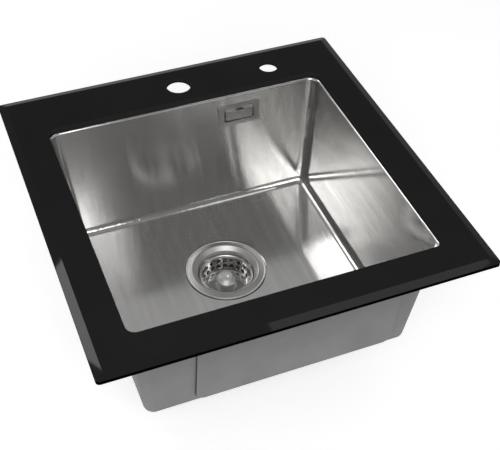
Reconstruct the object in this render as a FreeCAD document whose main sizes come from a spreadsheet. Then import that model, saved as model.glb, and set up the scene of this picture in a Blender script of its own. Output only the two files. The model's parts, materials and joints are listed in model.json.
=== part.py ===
import FreeCAD, Part
import math
import os
import Sketcher
from types import SimpleNamespace

# Glass-top kitchen sink that hangs in a worktop cut-out.
# The origin is the middle of the rim's seat on the worktop: +Z is up, +X is right and -Y is the front.

# Driving dimensions, in millimetres
DIMENSIONS = {
    # glass plate
    "opening_width": 400.0,
    "opening_depth": 380.0,
    "opening_corner": 12.0,
    "side_rim": 50.0,
    "front_rim": 50.0,
    "rear_rim": 80.0,
    "glass_thickness": 8.0,
    "glass_corner": 5.0,
    "bevel_width": 10.0,
    "bevel_drop": 3.0,
    "bevel_corner": 2.0,
    "glass_arris": 0.6,
    "tap_hole_radius": 17.5,
    "side_hole_radius": 14.0,
    "side_hole_offset": 139.0,
    "hole_setback": 45.0,
    # worktop seal and glass bond
    "seal_thickness": 1.5,
    "seal_width": 8.0,
    "seal_inset": 1.0,
    "bond_thickness": 1.0,
    "bond_setback": 2.0,
    "hole_relief": 3.0,
    # steel bowl
    "sheet": 1.0,
    "flange_setback": 15.0,
    "flange_corner": 8.0,
    "lip": 2.0,
    "bowl_depth": 181.0,
    "wall_taper": 17.0,
    "wall_corner": 13.0,
    "floor_bend": 10.0,
    "mouth_bend": 3.0,
    # deadening pads
    "pad_thickness": 4.0,
    "pad_corner": 14.0,
    "pad_margin": 11.0,
    "pad_drop": 20.0,
    "front_pad_inset": 49.0,
    "side_pad_inset": 55.0,
    "waste_relief": 5.0,
    # worktop clips
    "clip_margin": 18.0,
    "clip_spacing": 200.0,
    "rear_clip_inset": 45.0,
    "stud_radius": 2.5,
    "stud_length": 62.0,
    "thread_clearance": 0.05,
    "arm_clearance": 0.3,
    "arm_length": 36.0,
    "arm_tail": 9.0,
    "arm_width": 16.0,
    "arm_corner": 3.0,
    "arm_thickness": 2.0,
    "tip_thickness": 2.5,
    "tip_rise": 8.0,
    "tip_width": 10.0,
    "nut_radius": 5.5,
    "nut_height": 7.0,
    "nut_stand_off": 2.0,
    "wing_span": 13.0,
    "wing_thickness": 2.6,
    "wing_rise": 11.0,
    "wing_root": 3.5,
    # basket strainer waste
    "drain_shift": 30.0,
    "recess_radius": 59.0,
    "recess_depth": 2.0,
    "drain_hole_radius": 45.0,
    "waste_flange_radius": 57.0,
    "waste_flange_edge": 1.2,
    "waste_flange_rise": 1.8,
    "waste_sheet": 1.2,
    "bead_radius": 48.5,
    "cup_mouth_radius": 41.0,
    "cup_mouth_slope": 5.5,
    "cup_floor_radius": 36.0,
    "cup_depth": 40.0,
    "cup_bend": 4.0,
    "bead_round": 2.0,
    "seal_ring_thickness": 1.0,
    "seal_ring_inner": 46.0,
    "seal_ring_outer": 56.0,
    "cup_hole_radius": 4.2,
    "cup_hole_circle": 14.5,
    "cup_hole_count": 8,
    "body_gasket_thickness": 2.5,
    "waste_screw_radius": 3.0,
    "waste_screw_length": 30.0,
    "screw_clearance": 0.1,
    "screw_head_radius": 6.0,
    "screw_head_height": 3.5,
    "screw_slot": 1.2,
    # basket
    "basket_rim_radius": 38.5,
    "basket_rim_width": 2.0,
    "basket_mouth_radius": 36.5,
    "basket_floor_radius": 31.0,
    "basket_rim_drop": 9.5,
    "basket_floor_drop": 32.0,
    "basket_sheet": 1.0,
    "basket_hole_radius": 3.5,
    "basket_hole_count": 20,
    "basket_upper_row": 7.5,
    "basket_lower_row": 16.0,
    "stopper_inner": 20.0,
    "stopper_outer": 29.0,
    "knob_stem_radius": 5.0,
    "knob_radius": 15.5,
    "knob_height": 12.5,
    "knob_crown": 6.0,
    "knob_crown_radius": 9.0,
    "knob_dish_radius": 4.5,
    "knob_dish_depth": 1.2,
    "knob_rivet_height": 1.5,
    "knob_rivet_radius": 4.0,
    # waste body under the bowl
    "body_flange_radius": 58.0,
    "body_flange_thickness": 4.0,
    "body_bore": 46.0,
    "body_wall": 3.0,
    "body_shoulder_drop": 50.0,
    "body_neck_drop": 64.0,
    "outlet_radius": 23.9,
    "outlet_bore": 20.0,
    "outlet_length": 24.0,
    "boss_radius": 7.0,
    "spoke_thickness": 4.0,
    "spoke_height": 5.0,
    "port_drop": 33.0,
    "port_reach": 80.0,
    "spigot_radius": 10.0,
    "spigot_wall": 2.0,
    # overflow in the back wall
    "overflow_offset": 77.5,
    "overflow_drop": 42.0,
    "frame_width": 64.0,
    "frame_height": 34.0,
    "frame_thickness": 1.5,
    "frame_corner": 2.5,
    "slot_width": 45.0,
    "slot_height": 20.0,
    "slot_corner": 1.5,
    "collar_wall": 2.0,
    "collar_length": 6.0,
    "collar_clearance": 0.5,
    "bridge_thickness": 2.0,
    "bridge_height": 9.0,
    "cover_gap": 1.5,
    "cover_notch_width": 12.0,
    "cover_notch_depth": 2.5,
    "cover_lip_reach": 3.5,
    "cover_lip_height": 2.8,
    "cover_lip_clearance": 0.2,
    "cover_post_offset": 14.0,
    "cover_post_radius": 3.0,
    "cover_pin_radius": 1.6,
    "cover_pin_reach": 1.0,
    "overflow_screw_radius": 2.4,
    "overflow_screw_length": 17.0,
    "overflow_head_radius": 4.3,
    "overflow_head_height": 2.5,
    "overflow_gasket_thickness": 2.0,
    "overflow_gasket_border": 3.0,
    "elbow_plate_thickness": 3.0,
    "elbow_wall": 3.0,
    "elbow_depth": 25.0,
    "elbow_boss_radius": 5.0,
    "elbow_spigot_length": 30.0,
    # hose between the overflow and the waste body
    "hose_clearance": 0.1,
    "hose_wall": 1.4,
    "hose_rib": 1.6,
    "hose_cuff": 26.0,
    "hose_gap": 3.0,
    "hose_bend": 50.0,
    "hose_rib_count": 42,
    "clip_band_width": 9.0,
    "clip_band_thickness": 1.0,
    "clip_band_inset": 8.0,
    "clip_lug_length": 12.0,
    "clip_lug_height": 6.0,
}

# Lengths in millimetres, and a volume in cubic millimetres, below which a difference counts as none
TINY = 1e-9
LEVEL_TOLERANCE = 1e-4
LEAST_CUT = 1e-3

# Where a hose rib starts to rise and reaches its crest, as shares of the rib spacing
RIB_FOOT = 0.1
RIB_SHOULDER = 0.3


class Size:
    """A dimension that carries its number and the sheet formula that gives it."""

    def __init__(self, value, formula):
        self.value = value
        self.formula = formula

    def combine(self, other, sign, value):
        return Size(value, f"({self.formula} {sign} {as_size(other).formula})")

    def __add__(self, other):
        return self.combine(other, "+", self.value + as_size(other).value)

    def __sub__(self, other):
        return self.combine(other, "-", self.value - as_size(other).value)

    def __mul__(self, other):
        return self.combine(other, "*", self.value * as_size(other).value)

    def __truediv__(self, other):
        return self.combine(other, "/", self.value / as_size(other).value)

    def __neg__(self):
        return Size(-self.value, f"(0 - {self.formula})")


def as_size(value):
    return value if isinstance(value, Size) else Size(value, repr(value))


doc = FreeCAD.newDocument("glass_top_sink")
sheet = doc.addObject("Spreadsheet::Sheet", "Sizes")
for row, (name, number) in enumerate(DIMENSIONS.items(), start=1):
    sheet.set(f"A{row}", name)
    sheet.set(f"B{row}", str(number))
    sheet.setAlias(f"B{row}", name)
doc.recompute()
d = SimpleNamespace(**{name: Size(number, f"Sizes.{name}") for name, number in DIMENSIONS.items()})

# Sizes and levels that several pieces share
ZERO = as_size(0.0)
glass_width = d.opening_width + d.side_rim * 2
glass_depth = d.front_rim + d.opening_depth + d.rear_rim
bowl_y = (d.front_rim - d.rear_rim) / 2
glass_under = d.seal_thickness
glass_top_level = glass_under + d.glass_thickness
flange_top = glass_under - d.bond_thickness
flange_under = flange_top - d.sheet
floor_level = flange_top - d.bowl_depth
floor_under = floor_level - d.sheet
hole_y = glass_depth / 2 - d.hole_setback
mouth_width = d.opening_width - d.lip * 2
mouth_depth = d.opening_depth - d.lip * 2
floor_width = mouth_width - d.wall_taper * 2
floor_depth = mouth_depth - d.wall_taper * 2
flange_width = glass_width - d.flange_setback * 2
flange_depth = glass_depth - d.flange_setback * 2
drain_y = bowl_y + d.drain_shift
wall_slope = d.wall_taper / d.bowl_depth
tilt = math.degrees(math.atan(wall_slope.value))
wall_skin = Size(
    d.sheet.value * math.cos(math.radians(tilt)),
    f"(Sizes.sheet * cos(atan({wall_slope.formula})))",
)
collar_width = d.slot_width + d.collar_wall * 2
collar_height = d.slot_height + d.collar_wall * 2
window_width = collar_width + d.collar_clearance * 2
window_height = collar_height + d.collar_clearance * 2
overflow_level = glass_top_level - d.overflow_drop


# Helpers for sketches, features and placement


def new_body(label):
    body = doc.addObject("PartDesign::Body", label)
    body.Label = label
    return body


def new_sketch(body, role, offset=ZERO):
    """A sketch on one of the body's own origin planes, moved along the plane's normal."""
    plane = next(item for item in body.Origin.OriginFeatures if item.Role == role)
    sketch = body.newObject("Sketcher::SketchObject", f"{body.Label}_sketch")
    sketch.AttachmentSupport = (plane, [""])
    sketch.MapMode = "FlatFace"
    sketch.AttachmentOffset = FreeCAD.Placement(
        FreeCAD.Vector(0, 0, offset.value), FreeCAD.Rotation()
    )
    sketch.setExpression("AttachmentOffset.Base.z", offset.formula)
    return sketch


def dimension(sketch, kind, refs, size):
    index = sketch.addConstraint(Sketcher.Constraint(kind, *refs, size.value))
    sketch.setExpression(f"Constraints[{index}]", size.formula)


def hold_point(sketch, geometry, point, x, y):
    """Holds a point at x, y from the sketch's origin."""
    for kind, axis, size in (("DistanceX", -2, x), ("DistanceY", -1, y)):
        if abs(size.value) < TINY:
            sketch.addConstraint(Sketcher.Constraint("PointOnObject", geometry, point, axis))
        else:
            dimension(sketch, kind, (-1, 1, geometry, point), size)


def circle(sketch, radius, x=ZERO, y=ZERO):
    centre = FreeCAD.Vector(x.value, y.value, 0)
    shape = Part.Circle(centre, FreeCAD.Vector(0, 0, 1), radius.value)
    geometry = sketch.addGeometry(shape)
    hold_point(sketch, geometry, 3, x, y)
    dimension(sketch, "Radius", (geometry,), radius)


def polygon(sketch, points):
    """A closed outline whose corners are pairs of sizes."""
    corners = [FreeCAD.Vector(x.value, y.value, 0) for x, y in points]
    lines = []
    for start, end in zip(corners, corners[1:] + corners[:1]):
        lines.append(sketch.addGeometry(Part.LineSegment(start, end)))
    for line, following in zip(lines, lines[1:] + lines[:1]):
        sketch.addConstraint(Sketcher.Constraint("Coincident", line, 2, following, 1))
    for line, (x, y) in zip(lines, points):
        hold_point(sketch, line, 1, x, y)


def rectangle(sketch, width, height, x=ZERO, y=ZERO):
    left = x - width / 2
    right = x + width / 2
    low = y - height / 2
    high = y + height / 2
    polygon(sketch, [(left, low), (right, low), (right, high), (left, high)])


def rounded_rectangle(sketch, width, height, radius, x=ZERO, y=ZERO):
    left = x - width / 2
    right = x + width / 2
    low = y - height / 2
    high = y + height / 2
    r = radius.value
    normal = FreeCAD.Vector(0, 0, 1)
    flats = [
        ((left.value + r, low.value), (right.value - r, low.value)),
        ((right.value, low.value + r), (right.value, high.value - r)),
        ((right.value - r, high.value), (left.value + r, high.value)),
        ((left.value, high.value - r), (left.value, low.value + r)),
    ]
    centres = [
        (right.value - r, low.value + r),
        (right.value - r, high.value - r),
        (left.value + r, high.value - r),
        (left.value + r, low.value + r),
    ]
    lines = []
    arcs = []
    for quarter, ((start, end), centre) in enumerate(zip(flats, centres)):
        segment = Part.LineSegment(FreeCAD.Vector(*start, 0), FreeCAD.Vector(*end, 0))
        lines.append(sketch.addGeometry(segment))
        round_corner = Part.Circle(FreeCAD.Vector(*centre, 0), normal, r)
        begin = (quarter - 1) * math.pi / 2
        arcs.append(sketch.addGeometry(Part.ArcOfCircle(round_corner, begin, begin + math.pi / 2)))
    for line, arc, following in zip(lines, arcs, lines[1:] + lines[:1]):
        sketch.addConstraint(Sketcher.Constraint("Tangent", line, 2, arc, 1))
        sketch.addConstraint(Sketcher.Constraint("Tangent", arc, 2, following, 1))
    for arc in arcs[1:]:
        sketch.addConstraint(Sketcher.Constraint("Equal", arcs[0], arc))
    for line, kind in zip(lines, ("Horizontal", "Vertical", "Horizontal", "Vertical")):
        sketch.addConstraint(Sketcher.Constraint(kind, line))
    dimension(sketch, "Radius", (arcs[0],), radius)
    for line, kind, size in zip(
        lines, ("DistanceY", "DistanceX", "DistanceY", "DistanceX"), (low, right, high, left)
    ):
        dimension(sketch, kind, (-1, 1, line, 1), size)


def feature(body, kind, profile, **settings):
    """A PartDesign feature made from a sketch; sizes among its settings are tied to the sheet."""
    item = body.newObject(f"PartDesign::{kind}", f"{body.Label}_{kind}")
    item.Profile = profile
    for name, setting in settings.items():
        if isinstance(setting, Size):
            setattr(item, name, setting.value)
            item.setExpression(name, setting.formula)
        else:
            setattr(item, name, setting)
    doc.recompute()
    return item


def pad(body, sketch, length, reverse=False):
    return feature(body, "Pad", sketch, Length=length, Reversed=reverse)


def pocket(body, sketch, length=None):
    """A cut below the sketch, to a depth or, with no length, right through."""
    before = body.Shape.Volume
    if length is None:
        item = feature(body, "Pocket", sketch, Type="ThroughAll")
    else:
        item = feature(body, "Pocket", sketch, Length=length)
    if before - body.Shape.Volume < LEAST_CUT:
        raise RuntimeError(f"a cut in {body.Label} removes nothing")
    return item


def revolve(body, points):
    """A turned piece: an outline of radius and height pairs, spun about the body's Z axis."""
    sketch = new_sketch(body, "XZ_Plane")
    polygon(sketch, points)
    return feature(body, "Revolution", sketch, ReferenceAxis=(sketch, ["V_Axis"]), Angle=360.0)


def round_edges(body, radius, test, kind="Fillet"):
    """Rounds, or with Chamfer breaks, the edges of the body's last feature that pass a test."""
    base = body.Tip
    names = [f"Edge{n}" for n, edge in enumerate(base.Shape.Edges, start=1) if test(edge)]
    item = body.newObject(f"PartDesign::{kind}", f"{body.Label}_{kind}")
    item.Base = (base, names)
    name = "Radius" if kind == "Fillet" else "Size"
    setattr(item, name, radius.value)
    item.setExpression(name, radius.formula)
    doc.recompute()
    return item


def spread(body, original, axis_sketch, count):
    """Repeats a feature evenly round the body's Z axis."""
    pattern = body.newObject("PartDesign::PolarPattern", f"{body.Label}_pattern")
    pattern.Originals = [original]
    pattern.Axis = (axis_sketch, ["N_Axis"])
    pattern.Angle = 360.0
    pattern.Occurrences = int(count.value)
    pattern.setExpression("Occurrences", count.formula)
    body.Tip = pattern
    doc.recompute()


def at_height(height):
    """A test for edges that lie flat at one height."""
    level = height.value
    return lambda edge: all(abs(v.Z - level) < LEVEL_TOLERANCE for v in edge.Vertexes) and (
        abs(edge.BoundBox.ZLength) < LEVEL_TOLERANCE
    )


def inside_of(half_width, half_depth, middle_y):
    """A test for edges that lie within a rectangle about the bowl's middle."""
    return lambda edge: (
        max(abs(edge.BoundBox.XMin), abs(edge.BoundBox.XMax)) < half_width.value
        and edge.BoundBox.YMax - middle_y.value < half_depth.value
        and middle_y.value - edge.BoundBox.YMin < half_depth.value
    )


def move(item, x, y, z):
    """Stands an item at x, y, z, tied to the sheet."""
    item.Placement.Base = FreeCAD.Vector(x.value, y.value, z.value)
    for axis, size in (("x", x), ("y", y), ("z", z)):
        item.setExpression(f"Placement.Base.{axis}", size.formula)


# Glass plate with its ground bevel, opening and tap holes


def make_glass_top():
    body = new_body("glass_top")
    outline = new_sketch(body, "XY_Plane", glass_under)
    rounded_rectangle(outline, glass_width, glass_depth, d.glass_corner)
    pad(body, outline, d.glass_thickness - d.bevel_drop)
    bevel_foot = new_sketch(body, "XY_Plane", glass_top_level - d.bevel_drop)
    rounded_rectangle(bevel_foot, glass_width, glass_depth, d.glass_corner)
    bevel_top = new_sketch(body, "XY_Plane", glass_top_level)
    rounded_rectangle(
        bevel_top, glass_width - d.bevel_width * 2, glass_depth - d.bevel_width * 2, d.bevel_corner
    )
    feature(body, "AdditiveLoft", bevel_foot, Sections=[bevel_top], Ruled=True)
    cuts = new_sketch(body, "XY_Plane", glass_top_level)
    rounded_rectangle(cuts, d.opening_width, d.opening_depth, d.opening_corner, ZERO, bowl_y)
    circle(cuts, d.tap_hole_radius, ZERO, hole_y)
    circle(cuts, d.side_hole_radius, d.side_hole_offset, hole_y)
    pocket(body, cuts, d.glass_thickness * 2)
    at_top = at_height(glass_top_level)
    bevel_line = d.bevel_width + d.glass_arris
    within = inside_of(glass_width / 2 - bevel_line, glass_depth / 2 - bevel_line, ZERO)
    round_edges(body, d.glass_arris, lambda edge: at_top(edge) and within(edge), "Chamfer")
    return body


# Foam seal under the glass rim; its underside is the seat on the worktop


def make_rim_gasket():
    body = new_body("rim_gasket")
    sketch = new_sketch(body, "XY_Plane")
    outer_width = glass_width - d.seal_inset * 2
    outer_depth = glass_depth - d.seal_inset * 2
    rounded_rectangle(sketch, outer_width, outer_depth, d.glass_corner)
    rounded_rectangle(
        sketch, outer_width - d.seal_width * 2, outer_depth - d.seal_width * 2, d.bevel_corner
    )
    pad(body, sketch, d.seal_thickness)
    return body


# Adhesive layer between the glass and the bowl's flange


def make_glass_bond():
    body = new_body("glass_bond")
    sketch = new_sketch(body, "XY_Plane", flange_top)
    rounded_rectangle(
        sketch,
        flange_width - d.bond_setback * 2,
        flange_depth - d.bond_setback * 2,
        d.flange_corner,
    )
    rounded_rectangle(
        sketch,
        d.opening_width + d.bond_setback * 2,
        d.opening_depth + d.bond_setback * 2,
        d.opening_corner,
        ZERO,
        bowl_y,
    )
    circle(sketch, d.tap_hole_radius + d.hole_relief, ZERO, hole_y)
    circle(sketch, d.side_hole_radius + d.hole_relief, d.side_hole_offset, hole_y)
    pad(body, sketch, d.bond_thickness)
    return body


# Welded steel bowl: tapered walls, bent floor edge, flange, drain recess and overflow window


def tapered_loft(body, kind, growth, lowest):
    """The bowl's space, grown sideways by a wall thickness, from the flange's top down to a level."""
    shrink = wall_slope * (flange_top - lowest)
    top = new_sketch(body, "XY_Plane", flange_top)
    radius = d.wall_corner + growth
    rounded_rectangle(top, mouth_width + growth * 2, mouth_depth + growth * 2, radius, ZERO, bowl_y)
    low = new_sketch(body, "XY_Plane", lowest)
    rounded_rectangle(
        low,
        mouth_width + (growth - shrink) * 2,
        mouth_depth + (growth - shrink) * 2,
        radius,
        ZERO,
        bowl_y,
    )
    feature(body, kind, top, Sections=[low], Ruled=True)


def make_bowl():
    body = new_body("bowl")
    tapered_loft(body, "AdditiveLoft", d.sheet, floor_under)
    flange = new_sketch(body, "XY_Plane", flange_under)
    rounded_rectangle(flange, flange_width, flange_depth, d.flange_corner)
    pad(body, flange, d.sheet)
    tapered_loft(body, "SubtractiveLoft", ZERO, floor_level)
    round_edges(body, d.floor_bend, at_height(floor_level))
    round_edges(body, d.floor_bend + d.sheet, at_height(floor_under))
    near_wall = inside_of(mouth_width / 2 + d.sheet * 2, mouth_depth / 2 + d.sheet * 2, bowl_y)
    at_mouth = at_height(flange_top)
    round_edges(body, d.mouth_bend, lambda edge: at_mouth(edge) and near_wall(edge))
    under = at_height(flange_under)
    round_edges(body, d.mouth_bend - d.sheet, lambda edge: under(edge) and near_wall(edge))
    dish = new_sketch(body, "XY_Plane", floor_under)
    circle(dish, d.recess_radius + d.sheet, ZERO, drain_y)
    pad(body, dish, d.recess_depth, reverse=True)
    recess = new_sketch(body, "XY_Plane", floor_level)
    circle(recess, d.recess_radius, ZERO, drain_y)
    pocket(body, recess, d.recess_depth)
    drain = new_sketch(body, "XY_Plane", floor_level)
    circle(drain, d.drain_hole_radius, ZERO, drain_y)
    pocket(body, drain, d.recess_depth + d.sheet * 2)
    window = new_sketch(body, "XZ_Plane", -bowl_y)
    rounded_rectangle(
        window, window_width, window_height, d.frame_corner, d.overflow_offset, overflow_level
    )
    pocket(body, window)
    taps = new_sketch(body, "XY_Plane", flange_top)
    circle(taps, d.tap_hole_radius + d.hole_relief, ZERO, hole_y)
    circle(taps, d.side_hole_radius + d.hole_relief, d.side_hole_offset, hole_y)
    pocket(body, taps, d.sheet * 2)
    return body


# Deadening pads on the bowl's outer faces


def wall_frame(turn, along, height, skin):
    """The placement of a plate on a wall: X along the wall, Y up it, Z outwards."""
    reach = mouth_depth if turn % 180 == 0 else mouth_width
    level = flange_top - height
    out = reach / 2 + skin - wall_slope * level
    spin = FreeCAD.Rotation(FreeCAD.Vector(0, 0, 1), turn)
    lean = FreeCAD.Rotation(FreeCAD.Vector(1, 0, 0), 90 + tilt)
    foot = FreeCAD.Vector(along.value, -out.value, 0)
    base = spin.multVec(foot) + FreeCAD.Vector(0, bowl_y.value, height.value)
    return FreeCAD.Placement(base, spin * lean)


def make_wall_pad(label, turn, start, end):
    """A pad on the wall that faces front when turn is 0; start and end run along that wall."""
    top = flange_under - d.pad_drop
    foot = floor_under + d.pad_margin
    body = new_body(label)
    sketch = new_sketch(body, "XY_Plane")
    height = (top - foot) / math.cos(math.radians(tilt))
    rounded_rectangle(sketch, end - start, height, d.pad_corner)
    pad(body, sketch, d.pad_thickness)
    body.Placement = wall_frame(turn, (start + end) / 2, (top + foot) / 2, d.sheet)
    return body


def make_pads():
    flat_x = floor_width / 2 - d.wall_corner
    flat_y = floor_depth / 2 - d.wall_corner
    end_x = flat_x - d.pad_margin
    end_y = flat_y - d.pad_margin
    side_y = flat_y - d.side_pad_inset
    elbow_side = d.overflow_offset - d.frame_width / 2 - d.pad_margin
    pads = [
        make_wall_pad("pad_front", 0, d.front_pad_inset - flat_x, end_x),
        make_wall_pad("pad_right", 90, -side_y, side_y),
        make_wall_pad("pad_back", 180, -elbow_side, end_x),
        make_wall_pad("pad_left", 270, -side_y, side_y),
    ]
    body = new_body("pad_floor")
    sketch = new_sketch(body, "XY_Plane", floor_under)
    rounded_rectangle(sketch, end_x * 2, end_y * 2, d.pad_corner, ZERO, bowl_y)
    circle(sketch, d.recess_radius + d.sheet + d.waste_relief, ZERO, drain_y)
    pad(body, sketch, d.pad_thickness, reverse=True)
    return pads + [body]


# Worktop clips: a welded stud, a swinging arm and a wing nut at each of six places


def clip_places():
    """Each clip's name, stud position and the heading of its stowed arm, in degrees from +X."""
    side = flange_width / 2 - d.clip_margin
    rear = flange_depth / 2 - d.clip_margin
    near = bowl_y - d.clip_spacing / 2
    far = bowl_y + d.clip_spacing / 2
    rear_side = flange_width / 2 - d.rear_clip_inset
    return [
        ("left_front", -side, near, 90),
        ("left_rear", -side, far, 90),
        ("right_front", side, near, 90),
        ("right_rear", side, far, 90),
        ("rear_left", -rear_side, rear, 180),
        ("rear_right", rear_side, rear, 0),
    ]


def make_clip_studs():
    studs = []
    for name, x, y, _ in clip_places():
        stud = doc.addObject("Part::Cylinder", f"stud_{name}")
        stud.setExpression("Radius", d.stud_radius.formula)
        stud.setExpression("Height", d.stud_length.formula)
        move(stud, x, y, flange_under - d.stud_length)
        studs.append(stud)
    group = doc.addObject("Part::Compound", "clip_studs")
    group.Label = "clip_studs"
    group.Links = studs
    return group


def make_clip_arm(name, x, y, level, heading):
    body = new_body(f"clip_arm_{name}")
    plan = new_sketch(body, "XY_Plane")
    length = d.arm_length + d.arm_tail
    middle = (d.arm_length - d.arm_tail) / 2
    rounded_rectangle(plan, length, d.arm_width, d.arm_corner, middle)
    circle(plan, d.stud_radius + d.arm_clearance)
    pad(body, plan, d.arm_thickness)
    tip = new_sketch(body, "XY_Plane")
    rectangle(tip, d.tip_thickness, d.tip_width, d.arm_length - d.tip_thickness / 2)
    pad(body, tip, d.arm_thickness + d.tip_rise)
    move(body, x, y, level)
    body.Placement.Rotation = FreeCAD.Rotation(FreeCAD.Vector(0, 0, 1), heading)
    return body


def make_clip_nut(name, x, y, level, heading):
    body = new_body(f"clip_nut_{name}")
    hub = new_sketch(body, "XY_Plane")
    circle(hub, d.nut_radius)
    circle(hub, d.stud_radius + d.thread_clearance)
    pad(body, hub, d.nut_height, reverse=True)
    for side in (1, -1):
        wing = new_sketch(body, "XZ_Plane", -d.wing_thickness / 2)
        polygon(
            wing,
            [
                (d.wing_root * side, -d.nut_height),
                (d.nut_radius * side, -d.nut_height),
                (d.wing_span * side, -d.wing_rise),
                (d.wing_span * side, -d.nut_height / 2),
                (d.nut_radius * side, -d.nut_stand_off),
                (d.wing_root * side, -d.nut_stand_off),
            ],
        )
        pad(body, wing, d.wing_thickness)
    move(body, x, y, level)
    body.Placement.Rotation = FreeCAD.Rotation(FreeCAD.Vector(0, 0, 1), heading)
    return body


def make_clips():
    level = flange_under - d.stud_length + d.wing_rise
    clips = []
    for name, x, y, heading in clip_places():
        clips.append(make_clip_arm(name, x, y, level, heading))
        clips.append(make_clip_nut(name, x, y, level, heading))
    return clips


# Basket strainer waste, turned about the drain's own axis; heights count from the bowl floor


def at_drain(body):
    move(body, ZERO, drain_y, floor_level)
    return body


def make_ring(label, inner, outer, top, thickness):
    body = new_body(label)
    sketch = new_sketch(body, "XY_Plane", top)
    circle(sketch, outer)
    circle(sketch, inner)
    pad(body, sketch, thickness, reverse=True)
    return at_drain(body)


seal_ring_top = d.seal_ring_thickness - d.recess_depth
dish_under = -d.recess_depth - d.sheet
body_top = dish_under - d.body_gasket_thickness
cup_under = -d.cup_depth - d.waste_sheet


def make_strainer_cup():
    body = new_body("strainer_cup")
    crest = seal_ring_top + d.waste_flange_edge + d.waste_flange_rise
    throat = crest - d.cup_mouth_slope
    neck = d.cup_mouth_radius + d.waste_sheet
    revolve(
        body,
        [
            (d.waste_flange_radius, seal_ring_top),
            (d.waste_flange_radius, seal_ring_top + d.waste_flange_edge),
            (d.bead_radius, crest),
            (d.cup_mouth_radius + d.cup_mouth_slope, crest),
            (d.cup_mouth_radius, throat),
            (d.cup_floor_radius, -d.cup_depth),
            (ZERO, -d.cup_depth),
            (ZERO, cup_under),
            (d.cup_floor_radius + d.waste_sheet, cup_under),
            (neck, throat),
            (neck + seal_ring_top - throat, seal_ring_top),
        ],
    )
    round_edges(body, d.bead_round, at_height(crest))
    round_edges(body, d.cup_bend, at_height(-d.cup_depth))
    holes = new_sketch(body, "XY_Plane", -d.cup_depth)
    circle(holes, d.cup_hole_radius, d.cup_hole_circle)
    spread(body, pocket(body, holes, d.waste_sheet * 2), holes, d.cup_hole_count)
    middle = new_sketch(body, "XY_Plane", -d.cup_depth)
    circle(middle, d.waste_screw_radius + d.screw_clearance)
    pocket(body, middle, d.waste_sheet * 2)
    return at_drain(body)


def make_screw(label, radius, length, head_radius, head_height):
    """A slotted screw whose head sits on the XY plane and whose shank points down."""
    body = new_body(label)
    shank = new_sketch(body, "XY_Plane")
    circle(shank, radius)
    pad(body, shank, length, reverse=True)
    head = new_sketch(body, "XY_Plane")
    circle(head, head_radius)
    pad(body, head, head_height)
    slot = new_sketch(body, "XY_Plane", head_height)
    rectangle(slot, head_radius * 3, d.screw_slot)
    pocket(body, slot, d.screw_slot)
    return body


def make_strainer_screw():
    body = make_screw(
        "strainer_screw",
        d.waste_screw_radius,
        d.waste_screw_length,
        d.screw_head_radius,
        d.screw_head_height,
    )
    move(body, ZERO, drain_y, floor_level - d.cup_depth)
    return body


def make_basket():
    body = new_body("strainer_basket")
    rim = -d.basket_rim_drop
    inside = -d.basket_floor_drop
    skin = d.basket_sheet
    rivet_hole = d.knob_rivet_radius + d.screw_clearance
    revolve(
        body,
        [
            (d.basket_rim_radius, rim),
            (d.basket_rim_radius - d.basket_rim_width, rim + skin),
            (d.basket_mouth_radius - skin, rim),
            (d.basket_floor_radius - skin, inside),
            (rivet_hole, inside),
            (rivet_hole, inside - skin),
            (d.basket_floor_radius, inside - skin),
            (d.basket_mouth_radius, rim - skin),
            (d.basket_rim_radius, rim - skin),
        ],
    )
    for row in (d.basket_upper_row, d.basket_lower_row):
        holes = new_sketch(body, "XZ_Plane")
        circle(holes, d.basket_hole_radius, ZERO, rim - row)
        cut = pocket(body, holes, d.basket_rim_radius * 2)
        ring = new_sketch(body, "XY_Plane")
        circle(ring, d.basket_rim_radius)
        spread(body, cut, ring, d.basket_hole_count)
    return at_drain(body)


def make_basket_knob():
    """A domed knob riveted through the basket floor."""
    body = new_body("basket_knob")
    foot = -d.basket_floor_drop
    crown = foot + d.knob_height + d.knob_crown
    rivet_top = foot - d.basket_sheet
    revolve(
        body,
        [
            (ZERO, crown - d.knob_dish_depth),
            (d.knob_dish_radius, crown),
            (d.knob_crown_radius, crown),
            (d.knob_radius, foot + d.knob_height + d.knob_dish_depth),
            (d.knob_radius, foot + d.knob_height),
            (d.knob_stem_radius, foot + d.knob_height - d.knob_dish_depth),
            (d.knob_stem_radius, foot),
            (d.knob_rivet_radius, foot),
            (d.knob_rivet_radius, rivet_top - d.knob_rivet_height),
            (ZERO, rivet_top - d.knob_rivet_height),
        ],
    )
    round_edges(body, d.knob_dish_depth, at_height(crown))
    return at_drain(body)


def make_basket_stopper():
    top = -d.basket_floor_drop - d.basket_sheet
    return make_ring("basket_stopper", d.stopper_inner, d.stopper_outer, top, top + d.cup_depth)


# Plastic waste body: cup, spokes and boss for the centre screw, threaded outlet and overflow port


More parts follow.
